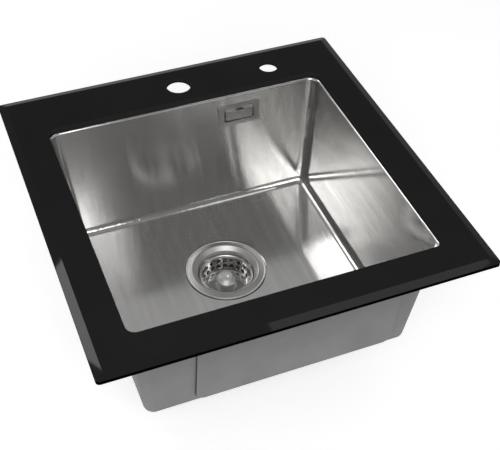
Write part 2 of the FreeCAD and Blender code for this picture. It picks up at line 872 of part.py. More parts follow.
def make_waste_body(heading):
    body = new_body("waste_body")
    outer = d.body_bore + d.body_wall
    flange_foot = body_top - d.body_flange_thickness
    outlet_end = -d.body_neck_drop - d.outlet_length
    revolve(
        body,
        [
            (d.body_bore, body_top),
            (d.body_flange_radius, body_top),
            (d.body_flange_radius, flange_foot),
            (outer, flange_foot),
            (outer, -d.body_shoulder_drop),
            (d.outlet_radius, -d.body_neck_drop),
            (d.outlet_radius, outlet_end),
            (d.outlet_bore, outlet_end),
            (d.outlet_bore, -d.body_neck_drop),
            (d.body_bore, -d.body_shoulder_drop + d.body_wall),
        ],
    )
    spokes = new_sketch(body, "XY_Plane", cup_under)
    rectangle(spokes, d.body_bore * 2 + d.body_wall, d.spoke_thickness)
    pad(body, spokes, d.spoke_height, reverse=True)
    cross = new_sketch(body, "XY_Plane", cup_under)
    rectangle(cross, d.spoke_thickness, d.body_bore * 2 + d.body_wall)
    pad(body, cross, d.spoke_height, reverse=True)
    boss = new_sketch(body, "XY_Plane", cup_under)
    circle(boss, d.boss_radius)
    pad(body, boss, d.body_neck_drop - d.cup_depth - d.waste_sheet, reverse=True)
    port = new_sketch(body, "YZ_Plane", d.body_bore + d.body_wall / 2)
    circle(port, d.spigot_radius, ZERO, -d.port_drop)
    pad(body, port, d.port_reach - d.body_bore - d.body_wall / 2)
    port_bore = new_sketch(body, "YZ_Plane", d.port_reach)
    circle(port_bore, d.spigot_radius - d.spigot_wall, ZERO, -d.port_drop)
    pocket(body, port_bore, d.port_reach - d.body_bore + d.body_wall)
    thread = new_sketch(body, "XY_Plane", cup_under)
    circle(thread, d.waste_screw_radius + d.screw_clearance)
    pocket(body, thread, d.waste_screw_length)
    at_drain(body)
    body.Placement.Rotation = FreeCAD.Rotation(FreeCAD.Vector(0, 0, 1), heading)
    return body


# Overflow, built on the back wall's inner face: X right, Y up the wall, Z into the bowl


def overflow_frame_placement():
    out = bowl_y + mouth_depth / 2 - wall_slope * (flange_top - overflow_level)
    base = FreeCAD.Vector(d.overflow_offset.value, out.value, overflow_level.value)
    return FreeCAD.Placement(base, FreeCAD.Rotation(FreeCAD.Vector(1, 0, 0), 90 - tilt))


def on_overflow(body):
    body.Placement = overflow_frame_placement()
    return body


bridge_face = d.bridge_thickness - d.collar_length
elbow_face = -wall_skin - d.overflow_gasket_thickness
elbow_back = elbow_face - d.elbow_depth
spigot_depth = (elbow_face + elbow_back) / 2
elbow_half = window_height / 2 + d.elbow_wall


def make_overflow_frame():
    body = new_body("overflow_frame")
    face = new_sketch(body, "XY_Plane")
    rounded_rectangle(face, d.frame_width, d.frame_height, d.frame_corner)
    rounded_rectangle(face, d.slot_width, d.slot_height, d.slot_corner)
    pad(body, face, d.frame_thickness)
    collar = new_sketch(body, "XY_Plane")
    rounded_rectangle(collar, collar_width, collar_height, d.frame_corner)
    rounded_rectangle(collar, d.slot_width, d.slot_height, d.slot_corner)
    pad(body, collar, d.collar_length, reverse=True)
    bridge = new_sketch(body, "XY_Plane", bridge_face)
    rectangle(bridge, d.slot_width + d.collar_wall, d.bridge_height)
    pad(body, bridge, d.bridge_thickness, reverse=True)
    holes = new_sketch(body, "XY_Plane", bridge_face)
    circle(holes, d.overflow_screw_radius + d.screw_clearance)
    circle(holes, d.cover_pin_radius + d.screw_clearance, d.cover_post_offset)
    circle(holes, d.cover_pin_radius + d.screw_clearance, -d.cover_post_offset)
    pocket(body, holes, d.bridge_thickness * 2)
    return on_overflow(body)


def make_overflow_cover():
    body = new_body("overflow_cover")
    face = new_sketch(body, "XY_Plane")
    rounded_rectangle(
        face, d.slot_width - d.cover_gap * 2, d.slot_height - d.cover_gap * 2, d.slot_corner
    )
    pad(body, face, d.frame_thickness)
    notch = new_sketch(body, "XY_Plane", d.frame_thickness)
    rectangle(notch, d.cover_notch_width, d.cover_notch_depth * 2, ZERO, d.slot_height / 2 - d.cover_gap)
    pocket(body, notch, d.frame_thickness)
    lip_width = (d.slot_width - d.cover_gap * 2 - d.cover_notch_width) / 2
    lip_x = (d.cover_notch_width + lip_width) / 2
    lip_y = (d.slot_height - d.cover_lip_height) / 2 - d.cover_lip_clearance
    lips = new_sketch(body, "XY_Plane")
    rectangle(lips, lip_width, d.cover_lip_height, lip_x, lip_y)
    rectangle(lips, lip_width, d.cover_lip_height, -lip_x, lip_y)
    pad(body, lips, d.cover_lip_reach)
    for radius, reach in (
        (d.cover_post_radius, -bridge_face),
        (d.cover_pin_radius, d.collar_length + d.cover_pin_reach),
    ):
        posts = new_sketch(body, "XY_Plane")
        circle(posts, radius, d.cover_post_offset)
        circle(posts, radius, -d.cover_post_offset)
        pad(body, posts, reach, reverse=True)
    return on_overflow(body)


def make_overflow_screw():
    body = make_screw(
        "overflow_screw",
        d.overflow_screw_radius,
        d.overflow_screw_length,
        d.overflow_head_radius,
        d.overflow_head_height,
    )
    seat = FreeCAD.Placement(FreeCAD.Vector(0, 0, bridge_face.value), FreeCAD.Rotation())
    body.Placement = overflow_frame_placement() * seat
    return body


def make_overflow_gasket():
    body = new_body("overflow_gasket")
    ring = new_sketch(body, "XY_Plane", -wall_skin)
    border = d.overflow_gasket_border * 2
    rounded_rectangle(ring, window_width + border, window_height + border, d.frame_corner)
    rounded_rectangle(ring, window_width, window_height, d.slot_corner)
    pad(body, ring, d.overflow_gasket_thickness, reverse=True)
    return on_overflow(body)


def make_overflow_elbow():
    body = new_body("overflow_elbow")
    plate = new_sketch(body, "XY_Plane", elbow_face)
    border = d.overflow_gasket_border * 2
    rounded_rectangle(plate, window_width + border * 2, window_height + border * 2, d.frame_corner)
    pad(body, plate, d.elbow_plate_thickness, reverse=True)
    box = new_sketch(body, "XY_Plane", elbow_face)
    rounded_rectangle(box, window_width + d.elbow_wall * 2, elbow_half * 2, d.elbow_wall)
    pad(body, box, d.elbow_depth, reverse=True)
    spigot = new_sketch(body, "XZ_Plane", elbow_half - d.elbow_wall)
    circle(spigot, d.spigot_radius, ZERO, spigot_depth)
    pad(body, spigot, d.elbow_spigot_length + d.elbow_wall)
    hollow = new_sketch(body, "XY_Plane", elbow_face)
    rounded_rectangle(hollow, window_width, window_height, d.slot_corner)
    pocket(body, hollow, d.elbow_depth - d.elbow_wall)
    bore = new_sketch(body, "XZ_Plane", elbow_half + d.elbow_spigot_length)
    circle(bore, d.spigot_radius - d.spigot_wall, ZERO, spigot_depth)
    pocket(body, bore, d.elbow_spigot_length + d.elbow_wall * 2)
    boss = new_sketch(body, "XY_Plane", elbow_back)
    circle(boss, d.elbow_boss_radius)
    pad(body, boss, bridge_face - d.bridge_thickness * 2 - elbow_back)
    thread = new_sketch(body, "XY_Plane", bridge_face - d.bridge_thickness * 2)
    circle(thread, d.overflow_screw_radius + d.screw_clearance)
    pocket(body, thread, d.overflow_screw_length)
    return on_overflow(body)


# Ribbed hose from the overflow spigot, down behind the wall and under the floor to the waste body


def hose_route():
    """The hose's ends, its one corner and the bend's tangent points, in the sink's frame."""
    frame = overflow_frame_placement()
    down = frame.Rotation.multVec(FreeCAD.Vector(0, -1, 0))
    start = frame.multVec(
        FreeCAD.Vector(0, -(elbow_half + d.hose_gap).value, spigot_depth.value)
    )
    port_level = (floor_level - d.port_drop).value
    corner = start + down * ((port_level - start.z) / down.z)
    axis = FreeCAD.Vector(0, drain_y.value, port_level)
    inward = (axis - corner).normalize()
    end = axis - inward * (d.body_bore + d.body_wall + d.hose_gap).value
    half_turn = down.getAngle(inward) / 2
    tangent = d.hose_bend.value * math.tan(half_turn)
    return SimpleNamespace(
        start=start,
        end=end,
        down=down,
        inward=inward,
        normal=down.cross(inward).normalize(),
        bend_start=corner - down * tangent,
        bend_end=corner + inward * tangent,
        turn=half_turn * 2,
    )


def hose_circle(route, centre, heading, radius):
    ring = Part.Circle(centre, heading, radius)
    ring.XAxis = route.normal
    return Part.Wire([ring.toShape()])


def hose_point(route, distance):
    """The centre and heading of the hose at a distance along it from its upper end."""
    first = (route.bend_start - route.start).Length
    bend = d.hose_bend.value * route.turn
    if distance <= first:
        return route.start + route.down * distance, route.down
    if distance >= first + bend:
        return route.bend_end + route.inward * (distance - first - bend), route.inward
    angle = (distance - first) / d.hose_bend.value
    spin = FreeCAD.Rotation(route.normal, math.degrees(angle))
    centre = route.bend_start + spin_centre(route)
    return centre - spin.multVec(spin_centre(route)), spin.multVec(route.down)


def spin_centre(route):
    """From the bend's first point to the middle of its arc."""
    return route.normal.cross(route.down) * d.hose_bend.value


def make_overflow_hose(route):
    bore = d.spigot_radius.value + d.hose_clearance.value
    valley = bore + d.hose_wall.value
    crest = valley + d.hose_rib.value
    first = (route.bend_start - route.start).Length
    last = (route.end - route.bend_end).Length
    length = first + d.hose_bend.value * route.turn + last
    cuff = d.hose_cuff.value
    pitch = (length - cuff * 2) / d.hose_rib_count.value
    profile = (
        (RIB_FOOT, valley),
        (RIB_SHOULDER, crest),
        (1 - RIB_SHOULDER, crest),
        (1 - RIB_FOOT, valley),
    )
    stations = [(0.0, valley)]
    for rib in range(int(d.hose_rib_count.value)):
        begin = cuff + rib * pitch
        stations += [(begin + share * pitch, radius) for share, radius in profile]
    stations.append((length, valley))
    rings = [hose_circle(route, *hose_point(route, s), radius) for s, radius in stations]
    skin = Part.makeLoft(rings, True, True)
    bend_middle = hose_point(route, first + d.hose_bend.value * route.turn / 2)[0]
    path = Part.Wire(
        [
            Part.LineSegment(route.start, route.bend_start).toShape(),
            Part.Arc(route.bend_start, bend_middle, route.bend_end).toShape(),
            Part.LineSegment(route.bend_end, route.end).toShape(),
        ]
    )
    core = path.makePipeShell([hose_circle(route, route.start, route.down, bore)], True, False)
    plain = math.pi * bore**2 * length
    print(f"hose length {length:.1f}, bore volume over section times length {core.Volume / plain:.4f}")
    hose = doc.addObject("Part::Feature", "overflow_hose")
    hose.Label = "overflow_hose"
    hose.Shape = skin.cut(core)
    return hose


def make_hose_clip(label, centre, heading, lug_side):
    """A worm-drive band round a hose end, with its lug turned to one side."""
    body = new_body(label)
    inner = d.spigot_radius + d.hose_clearance + d.hose_wall + d.thread_clearance
    outer = inner + d.clip_band_thickness
    band = new_sketch(body, "XY_Plane", -d.clip_band_width / 2)
    circle(band, outer)
    circle(band, inner)
    pad(body, band, d.clip_band_width)
    lug = new_sketch(body, "XY_Plane", -d.clip_band_width / 2)
    lug_low = (inner + outer) / 2
    rectangle(lug, d.clip_lug_length, d.clip_lug_height, ZERO, lug_low + d.clip_lug_height / 2)
    pad(body, lug, d.clip_band_width)
    turn = FreeCAD.Rotation(lug_side.cross(heading), lug_side, heading, "ZYX")
    body.Placement = FreeCAD.Placement(centre, turn)
    return body


def make_hose_clips(route):
    """The bands' lugs stand on the outside of the hose's bend, clear of the bowl."""
    inset = (d.clip_band_inset + d.clip_band_width / 2).value
    upper = route.start + route.down * inset
    lower = route.end - route.inward * inset
    return [
        make_hose_clip("hose_clip_upper", upper, route.down, route.down.cross(route.normal)),
        make_hose_clip("hose_clip_lower", lower, route.inward, route.inward.cross(route.normal)),
    ]


# Build every piece, test it and write its file

hose = hose_route()
port_heading = math.degrees(math.atan2(-hose.inward.y, -hose.inward.x))
nodes = [make_glass_top(), make_rim_gasket(), make_glass_bond(), make_bowl()]
nodes += make_pads()
nodes += [make_clip_studs()] + make_clips()
nodes += [
    make_strainer_cup(),
    make_ring(
        "flange_seal", d.seal_ring_inner, d.seal_ring_outer, seal_ring_top, d.seal_ring_thickness
    ),
    make_ring(
        "body_gasket", d.seal_ring_inner, d.seal_ring_outer, dish_under, d.body_gasket_thickness
    ),
    make_strainer_screw(),
    make_waste_body(port_heading),
    make_basket(),
    make_basket_knob(),
    make_basket_stopper(),
]
nodes += [
    make_overflow_frame(),
    make_overflow_cover(),
    make_overflow_screw(),
    make_overflow_gasket(),
    make_overflow_elbow(),
    make_overflow_hose(hose),
]
nodes += make_hose_clips(hose)
doc.recompute()

for item in doc.Objects:
    if "Invalid" in item.State or "Error" in item.State:
        raise RuntimeError(f"{item.Label} failed: {item.State}")
for node in nodes:
    if node.Shape.isNull() or not node.Shape.isValid() or not node.Shape.Solids:
        raise RuntimeError(f"{node.Label} has no valid solid")

os.makedirs("parts", exist_ok=True)
for node in nodes:
    node.Shape.exportStep(f"parts/{node.Label}.step")
    box = node.Shape.BoundBox
    print(
        f"{node.Label}: {len(node.Shape.Solids)} solid(s), {node.Shape.Volume:.1f} mm3,"
        f" {box.XLength:.1f} x {box.YLength:.1f} x {box.ZLength:.1f} mm"
    )
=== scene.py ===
# %% [markdown]
# # A glass-top kitchen sink, dressed in Blender
# The construction comes in as finished solids: a black glass plate, a pressed steel bowl, its waste,
# its overflow and the clips that hold it in a worktop. This lesson adds what the solids lack: the
# finish of each surface, and the soft, ribbed and threaded pieces as meshes of their own.
# Everything is in metres in the frame of the solids, so a new piece goes where the solids say.

# %% Load the solids
import json
import math

import bmesh
import bpy
from mathutils import Matrix, Vector


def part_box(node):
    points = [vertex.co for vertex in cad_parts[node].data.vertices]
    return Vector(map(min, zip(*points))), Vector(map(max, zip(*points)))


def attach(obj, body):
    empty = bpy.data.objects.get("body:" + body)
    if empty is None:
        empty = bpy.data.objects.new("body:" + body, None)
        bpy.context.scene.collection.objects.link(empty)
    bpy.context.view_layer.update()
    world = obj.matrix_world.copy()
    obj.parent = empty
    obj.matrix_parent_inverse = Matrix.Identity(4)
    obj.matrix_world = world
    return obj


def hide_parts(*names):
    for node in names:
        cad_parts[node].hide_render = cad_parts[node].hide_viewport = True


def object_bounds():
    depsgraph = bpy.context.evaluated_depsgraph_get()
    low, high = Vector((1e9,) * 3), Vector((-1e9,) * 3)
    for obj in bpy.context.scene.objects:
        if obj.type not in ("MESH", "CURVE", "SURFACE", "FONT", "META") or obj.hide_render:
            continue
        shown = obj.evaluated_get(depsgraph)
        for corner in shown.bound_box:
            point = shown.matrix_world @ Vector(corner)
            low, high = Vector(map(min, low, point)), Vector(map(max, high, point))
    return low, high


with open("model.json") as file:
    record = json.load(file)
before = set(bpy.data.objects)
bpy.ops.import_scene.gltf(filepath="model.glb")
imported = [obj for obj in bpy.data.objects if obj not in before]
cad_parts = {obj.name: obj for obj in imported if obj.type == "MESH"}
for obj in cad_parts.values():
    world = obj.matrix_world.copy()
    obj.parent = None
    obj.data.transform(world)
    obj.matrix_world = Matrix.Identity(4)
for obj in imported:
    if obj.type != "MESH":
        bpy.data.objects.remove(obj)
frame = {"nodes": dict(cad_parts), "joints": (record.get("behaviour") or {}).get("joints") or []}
nodes = frame["nodes"]
solid_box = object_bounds()
MM = 0.001
print("solids:", len(nodes), "size in mm:", [round(side / MM) for side in solid_box[1] - solid_box[0]])

# %% [markdown]
# ## The camera
# The photograph looks down into the bowl from the front left, with a slightly long lens. Such a view can
# be found by hand, or worked out from the straight edges of the glass plate, whose size is known. The
# second way gave these values: a place, three turns and a lens.

# %% Camera
CAMERA_PLACE = Vector((-0.3532, -0.90566, 0.87074))
CAMERA_HEADING = math.radians(-22.87)
CAMERA_TILT = math.radians(45.725)
CAMERA_ROLL = math.radians(1.69)
CAMERA_LENS = 72.25


def add_object(name, data):
    """Puts a mesh, camera or lamp into the scene."""
    made = bpy.data.objects.new(name, data)
    bpy.context.scene.collection.objects.link(made)
    return made


camera = add_object("camera", bpy.data.cameras.new("camera"))
camera.data.lens = CAMERA_LENS
camera.matrix_world = (
    Matrix.Translation(CAMERA_PLACE)
    @ Matrix.Rotation(CAMERA_HEADING, 4, "Z")
    @ Matrix.Rotation(CAMERA_TILT, 4, "X")
    @ Matrix.Rotation(CAMERA_ROLL, 4, "Z")
)
bpy.context.scene.camera = camera
bpy.context.scene.view_settings.view_transform = "Standard"
gaze = camera.matrix_world.to_3x3() @ Vector((0, 0, -1))
print("camera looks along", [round(part, 3) for part in gaze])

# %% [markdown]
# ## Small tools for node trees
# Every finish below is a tree of shader nodes. Adding a node and plugging in its inputs takes several
# lines each time, so one helper does both: an input is either a number or another node's output. The
# others are short names for the nodes that come up most.

# %% Node helpers


def wire(tree, kind, inputs=None, **settings):
    """Adds a node, sets its options, and fills or links its inputs."""
    node = tree.nodes.new(kind)
    for name, value in settings.items():
        setattr(node, name, value)
    for name, value in (inputs or {}).items():
        if isinstance(value, bpy.types.NodeSocket):
            tree.links.new(value, node.inputs[name])
        else:
            node.inputs[name].default_value = value
    return node


def span(tree, value, low, high, start=0.0, end=1.0):
    """Carries a value from start..end to low..high, and holds it there."""
    limits = {"Value": value, "From Min": start, "From Max": end, "To Min": low, "To Max": high}
    return wire(tree, "ShaderNodeMapRange", limits).outputs["Result"]


def blend(tree, mask, first, second):
    """The first colour where the mask is 0, the second where it is 1."""
    return wire(tree, "ShaderNodeMix", {0: mask, 6: first, 7: second}, data_type="RGBA").outputs[2]


def compute(tree, operation, *values):
    """One step of arithmetic on values."""
    return wire(tree, "ShaderNodeMath", dict(enumerate(values)), operation=operation).outputs[0]


def combine(tree, operation, *vectors):
    """One step of arithmetic on vectors; gives a vector as Vector and a number as Value."""
    return wire(tree, "ShaderNodeVectorMath", dict(enumerate(vectors)), operation=operation).outputs


def parts(tree, vector):
    """The X, Y and Z of a vector."""
    return wire(tree, "ShaderNodeSeparateXYZ", {0: vector}).outputs


def grey(level):
    return (level, level, level, 1.0)


print("node helpers:", [tool.__name__ for tool in (wire, span, blend, compute, combine, parts, grey)])

# %% [markdown]
# ## Floor
# The sink is shown on a plain white sweep. A curved backdrop could stand behind it, but a flat sheet
# under a white horizon looks much the same and is simpler. The sheet is pale and matte and takes the soft
# shadow. It glows for the camera, and for rays that come by way of a mirror or clear glass, so it reads
# as white there without more light on the sink.

# %% Floor
FLOOR_HALF = 15.0
FLOOR_GLOW = 0.52
FLOOR_WHITE = grey(0.86)

floor_mesh = bpy.data.meshes.new("floor")
floor_corners = [(x, y, 0.0) for x, y in ((-1, -1), (1, -1), (1, 1), (-1, 1))]
floor_mesh.from_pydata([Vector(corner) * FLOOR_HALF for corner in floor_corners], [], [(0, 1, 2, 3)])
floor = add_object("floor", floor_mesh)
floor.location.z = solid_box[0].z

floor_finish = bpy.data.materials.new("white_sweep")
floor_finish.use_nodes = True
tree = floor_finish.node_tree
light_path = wire(tree, "ShaderNodeLightPath").outputs
seen = compute(tree, "MAXIMUM", light_path["Is Camera Ray"], light_path["Is Glossy Ray"])
seen = compute(tree, "MAXIMUM", seen, light_path["Is Transmission Ray"])
sweep_shader = tree.nodes["Principled BSDF"]
sweep_shader.inputs["Base Color"].default_value = FLOOR_WHITE
sweep_shader.inputs["Roughness"].default_value = 1.0
sweep_shader.inputs["Specular IOR Level"].default_value = 0.0
sweep_shader.inputs["Emission Color"].default_value = grey(1.0)
tree.links.new(compute(tree, "MULTIPLY", seen, FLOOR_GLOW), sweep_shader.inputs["Emission Strength"])
floor_mesh.materials.append(floor_finish)
print("floor at", round(floor.location.z / MM, 1), "mm")

# %% [markdown]
# ## The room around it
# Steel shows its surroundings more than its own colour, so the world matters as much as the lamps. One
# even grey would make the bowl's walls look flat. Here a bright horizon, as a white sweep gives, lies
# under a dim room, which is lighter at the back and lightest high up there.

# %% World
HORIZON_LEVEL = 1.0
HORIZON_TOP = 0.16
ROOM_BOTTOM = 0.36
ROOM_FRONT = 0.22
ROOM_TURN = 0.5
ROOM_BACK_LOW = 0.27
ROOM_BACK_HIGH = 0.42
ROOM_BACK_FROM = 0.62
ROOM_BACK_TO = 0.77

world = bpy.data.worlds.new("studio")
world.use_nodes = True
bpy.context.scene.world = world
tree = world.node_tree
toward = parts(tree, wire(tree, "ShaderNodeTexCoord").outputs["Generated"])
room_back = span(tree, toward["Z"], ROOM_BACK_LOW, ROOM_BACK_HIGH, ROOM_BACK_FROM, ROOM_BACK_TO)
room = span(tree, toward["Y"], ROOM_FRONT, room_back, -ROOM_TURN, ROOM_TURN)
height = span(tree, toward["Z"], 0.0, 1.0, HORIZON_TOP, ROOM_BOTTOM)
room_colour = wire(tree, "ShaderNodeCombineColor", {0: room, 1: room, 2: room}).outputs[0]
sky = blend(tree, height, grey(HORIZON_LEVEL), room_colour)
tree.links.new(sky, tree.nodes["Background"].inputs["Color"])
print("world: horizon", HORIZON_LEVEL, "room", ROOM_FRONT, "to", ROOM_BACK_HIGH)

# %% [markdown]
# ## Lamps
# Bright shapes in brushed steel are mirror images of lamps, so the lamps' places matter more than their
# power. Following the bright bands of the bowl back through two or three bounces leads to a large softbox
# at the front left and a smaller one behind. A dim sheet overhead on the right fills the rest.

# %% Lamps
RADIANCE_TO_WATT = math.pi


def softbox(name, azimuth, elevation, distance, width, height, radiance):
    """A rectangular lamp that faces the sink; azimuth is measured from the back toward the right."""
    lamp = bpy.data.lights.new(name, "AREA")
    lamp.shape = "RECTANGLE"
    lamp.size = width
    lamp.size_y = height
    lamp.energy = radiance * width * height * RADIANCE_TO_WATT
    side = math.radians(azimuth)
    up = math.radians(elevation)
    away = Vector((math.sin(side) * math.cos(up), math.cos(side) * math.cos(up), math.sin(up)))
    made = add_object(name, lamp)
    made.location = away * distance
    made.rotation_euler = away.to_track_quat("Z", "Y").to_euler()
    made.visible_camera = False
    print(name, "power", round(lamp.energy, 1))


softbox(
    "key_softbox", azimuth=-161.5, elevation=39.5, distance=2.6, width=1.92, height=1.5, radiance=3.5
)
softbox(
    "back_softbox", azimuth=-25.0, elevation=46.0, distance=2.6, width=0.95, height=0.55, radiance=3.6
)
softbox(
    "overhead_sheet", azimuth=78.0, elevation=67.0, distance=2.5, width=0.8, height=0.8, radiance=0.8
)

# %% [markdown]
# ## Shared surface effects
# Real surfaces are never even: polish leaves lines, spray leaves a fine pebble, handling leaves cloudy
# patches. Each of these comes up more than once, so each is built once as a node group with its own
# inputs and is then placed in a finish with that finish's values. They read object coordinates, which
# here are the frame's own metres, so the patterns keep their real size.

# %% Group helpers
FLOAT = "NodeSocketFloat"
VECTOR = "NodeSocketVector"


def new_group(name, takes, gives):
    """A node group with named sockets; returns it with its two end nodes' sockets."""
    group = bpy.data.node_groups.new(name, "ShaderNodeTree")
    for label, kind, value in takes:
        socket = group.interface.new_socket(label, in_out="INPUT", socket_type=kind)
        socket.default_value = value
    for label in gives:
        group.interface.new_socket(label, in_out="OUTPUT", socket_type=FLOAT)
    start = group.nodes.new("NodeGroupInput").outputs
    finish = group.nodes.new("NodeGroupOutput").inputs
    return group, start, finish


def place(tree, group, inputs):
    """Puts a group into a finish with its values and returns its outputs."""
    node = tree.nodes.new("ShaderNodeGroup")
    node.node_tree = group
    for name, value in inputs.items():
        node.inputs[name].default_value = value
    return node.outputs


def object_place(tree):
    return wire(tree, "ShaderNodeTexCoord").outputs["Object"]


def object_normal(tree):
    return wire(tree, "ShaderNodeTexCoord").outputs["Normal"]


print("group helpers:", [tool.__name__ for tool in (new_group, place, object_place, object_normal)])

# %% [markdown]
# ### Cloudy patches
# Handling, plating and moulding leave soft patches of uneven colour and gloss. They could be painted, but
# smooth noise with more contrast gives them at once, on every side of a piece. Its scale sets their size.

# %% Cloudy patches
cloudy, start, finish = new_group("cloudy_patches", [("Scale", FLOAT, 30.0)], ["Value"])
noise = {"Vector": object_place(cloudy), "Scale": start["Scale"], "Detail": 4.0, "Roughness": 0.55}
mottle = wire(cloudy, "ShaderNodeTexNoise", noise).outputs["Fac"]
cloudy.links.new(span(cloudy, mottle, 0.0, 1.0, 0.3, 0.7), finish["Value"])
print("group:", cloudy.name)

# %% [markdown]
# ### Polish lines
# Brushing draws every mark out in one direction. The same noise does that when its coordinates are
# stretched: a large factor in a direction makes the lines narrow there, and a small one makes them long.

# %% Polish lines
streaks, start, finish = new_group("polish_lines", [("Stretch", VECTOR, (20.0, 20.0, 2000.0))], ["Value"])
stretched = combine(streaks, "MULTIPLY", object_place(streaks), start["Stretch"])["Vector"]
lines = {"Vector": stretched, "Scale": 1.0, "Detail": 3.0, "Roughness": 0.7}
marks = wire(streaks, "ShaderNodeTexNoise", lines).outputs["Fac"]
streaks.links.new(span(streaks, marks, 0.0, 1.0, 0.25, 0.75), finish["Value"])
print("group:", streaks.name)

# %% [markdown]
# ### Fine pebble
# A sprayed or moulded surface is covered with grains, and foam with pores. Noise gives the grains and a
# pattern of rounded cells gives the pores, so a finish can take the one that it needs.

# %% Fine pebble
pebble, start, finish = new_group("fine_pebble", [("Scale", FLOAT, 900.0)], ["Height", "Pits"])
grains = {"Vector": object_place(pebble), "Scale": start["Scale"], "Detail": 2.0, "Roughness": 0.6}
cells = {"Vector": object_place(pebble), "Scale": start["Scale"], "Smoothness": 0.6}
pores = wire(pebble, "ShaderNodeTexVoronoi", cells, feature="SMOOTH_F1").outputs["Distance"]
pebble.links.new(wire(pebble, "ShaderNodeTexNoise", grains).outputs["Fac"], finish["Height"])
pebble.links.new(pores, finish["Pits"])
print("groups:", [group.name for group in bpy.data.node_groups])

# %% [markdown]
# ## Finishes
# A finish is one material around one Principled shader. Values that are the same all over are set on the
# shader's own sockets. What changes over the surface, such as colour or roughness, is linked.

# %% Finish helpers
FINISHES = {}


def new_finish(name, even):
    """A material and its tree; even holds the values that are the same all over."""
    material = bpy.data.materials.new(name)
    material.use_nodes = True
    shader = material.node_tree.nodes["Principled BSDF"]
    for label, value in even.items():
        shader.inputs[label].default_value = value
    return material, material.node_tree


def feed(tree, varying):
    """Links what changes over the surface to the shader."""
    shader = tree.nodes["Principled BSDF"]
    for label, socket in varying.items():
        tree.links.new(socket, shader.inputs[label])


def bump(tree, height, distance, strength):
    """A surface normal that follows a height; distance is the real depth of the relief."""
    inputs = {"Height": height, "Distance": distance, "Strength": strength}
    return wire(tree, "ShaderNodeBump", inputs).outputs["Normal"]


print("finish helpers:", [tool.__name__ for tool in (new_finish, feed, bump)])

# %% [markdown]
# ### Black glass
# The plate is toughened glass, black from behind. Its face is polished, its sloped border is ground and
# then only half polished, and its upright edges are dull, the outer one blackest. A clear coat over black
# gives the face its reflections. The direction that a surface faces tells these zones apart, so no
# painting is needed: the outer edge faces away from the plate's middle, and the bowl's opening toward it.

# %% Black glass
FACE_BLACK = grey(0.0045)
FACE_SMEARED = grey(0.006)
BORDER_BLACK = grey(0.007)
BORDER_DUSTY = grey(0.010)
CUT_BLACK = grey(0.022)
CUT_DUSTY = grey(0.032)
OUTER_EDGE = grey(0.0012)
FACE_TILT = (0.97, 0.99)
BORDER_TILT = (0.4, 0.9)
SMEAR_SCALE = 14.0
DUST_SCALE = 420.0
GLASS_ROUGHNESS = (0.34, 0.10)
SMEAR_ROUGHNESS = 0.06
GLASS_COAT = 0.58
SMEAR_COAT = 0.94


def make_black_glass():
    even = {"Specular IOR Level": 0.0, "Coat IOR": 1.5, "Coat Roughness": 0.03}
    material, tree = new_finish("black_glass", even)
    upward = parts(tree, object_normal(tree))["Z"]
    face = span(tree, upward, 0.0, 1.0, *FACE_TILT)
    polished = span(tree, upward, 0.0, 1.0, *BORDER_TILT)
    smear = place(tree, cloudy, {"Scale": SMEAR_SCALE})["Value"]
    dust = place(tree, cloudy, {"Scale": DUST_SCALE})["Value"]
    plain = blend(tree, smear, FACE_BLACK, FACE_SMEARED)
    border = blend(tree, dust, BORDER_BLACK, BORDER_DUSTY)
    cut_edge = blend(tree, dust, CUT_BLACK, CUT_DUSTY)
    away = combine(tree, "DOT_PRODUCT", object_place(tree), object_normal(tree))["Value"]
    edge = blend(tree, compute(tree, "GREATER_THAN", away, 0.0), cut_edge, OUTER_EDGE)
    colour = blend(tree, face, blend(tree, polished, edge, border), plain)
    smeared = span(tree, smear, 0.0, SMEAR_ROUGHNESS)
    roughness = compute(tree, "ADD", span(tree, face, *GLASS_ROUGHNESS), smeared)
    clean = span(tree, smear, SMEAR_COAT, 1.0)
    coat = compute(tree, "MULTIPLY", span(tree, polished, 0.0, GLASS_COAT), clean)
    feed(tree, {"Base Color": colour, "Roughness": roughness, "Coat Weight": coat})
    return material


FINISHES["glass"] = make_black_glass()
print("finish:", FINISHES["glass"].name)

# %% [markdown]
# ### The sprayed coat
# Outside, the bowl and its pads are sprayed with a grey coat against noise and condensation. The spray
# leaves a pebbled, cloudy skin, and toward the flange it is darkened by painted shade from the rim above.
# More than one finish needs it, so a helper gives its colour, roughness and relief to whichever asks.

# %% Sprayed coat
COAT_DARK = grey(0.225)
COAT_PALE = grey(0.265)
# Painted shade under the rim: toward the flange the coat darkens to this grey, between the two levels
# below.
RIM_SHADE_GREY = grey(0.15)
RIM_SHADE_START = -150.0 * MM
RIM_SHADE_END = -5.0 * MM
COAT_GRAIN = 700.0
COAT_CLOUD = 22.0
COAT_ROUGHNESS = (0.62, 0.78)
COAT_RELIEF = 0.2 * MM
COAT_BUMP = 0.6
FACING = (0.6, 0.9)


def coat_surface(tree):
    """Colour, roughness and relief of the sprayed coat, darkened toward the flange by painted shade."""
    grain = place(tree, pebble, {"Scale": COAT_GRAIN})
    cloud = place(tree, cloudy, {"Scale": COAT_CLOUD})["Value"]
    # Painted shade: the coat darkens from 150 mm down to just under the flange, where the rim overhangs
    # it.
    rim_shade = span(tree, parts(tree, object_place(tree))["Z"], 0.0, 1.0, RIM_SHADE_START, RIM_SHADE_END)
    colour = blend(tree, rim_shade, blend(tree, cloud, COAT_DARK, COAT_PALE), RIM_SHADE_GREY)
    return colour, span(tree, grain["Height"], *COAT_ROUGHNESS), grain["Height"]


def facing_mask(tree, axis):
    """1 where a surface faces along an axis, either way, and 0 where it doesn't."""
    side = parts(tree, object_normal(tree))[axis]
    return span(tree, compute(tree, "ABSOLUTE", side), 0.0, 1.0, *FACING)


print("painted shade under the rim from", round(RIM_SHADE_START / MM), "to", round(RIM_SHADE_END / MM), "mm")

# %% [markdown]
# ### Brushed steel
# Inside, the bowl is stainless sheet, brushed from left to right before it was folded. The fine lines run
# level along the back wall and the floor, but upright on the folded side walls, and lights are drawn out
# across them. The drawing out is left to the shader. Pale and dark streaks across the lines add to it.

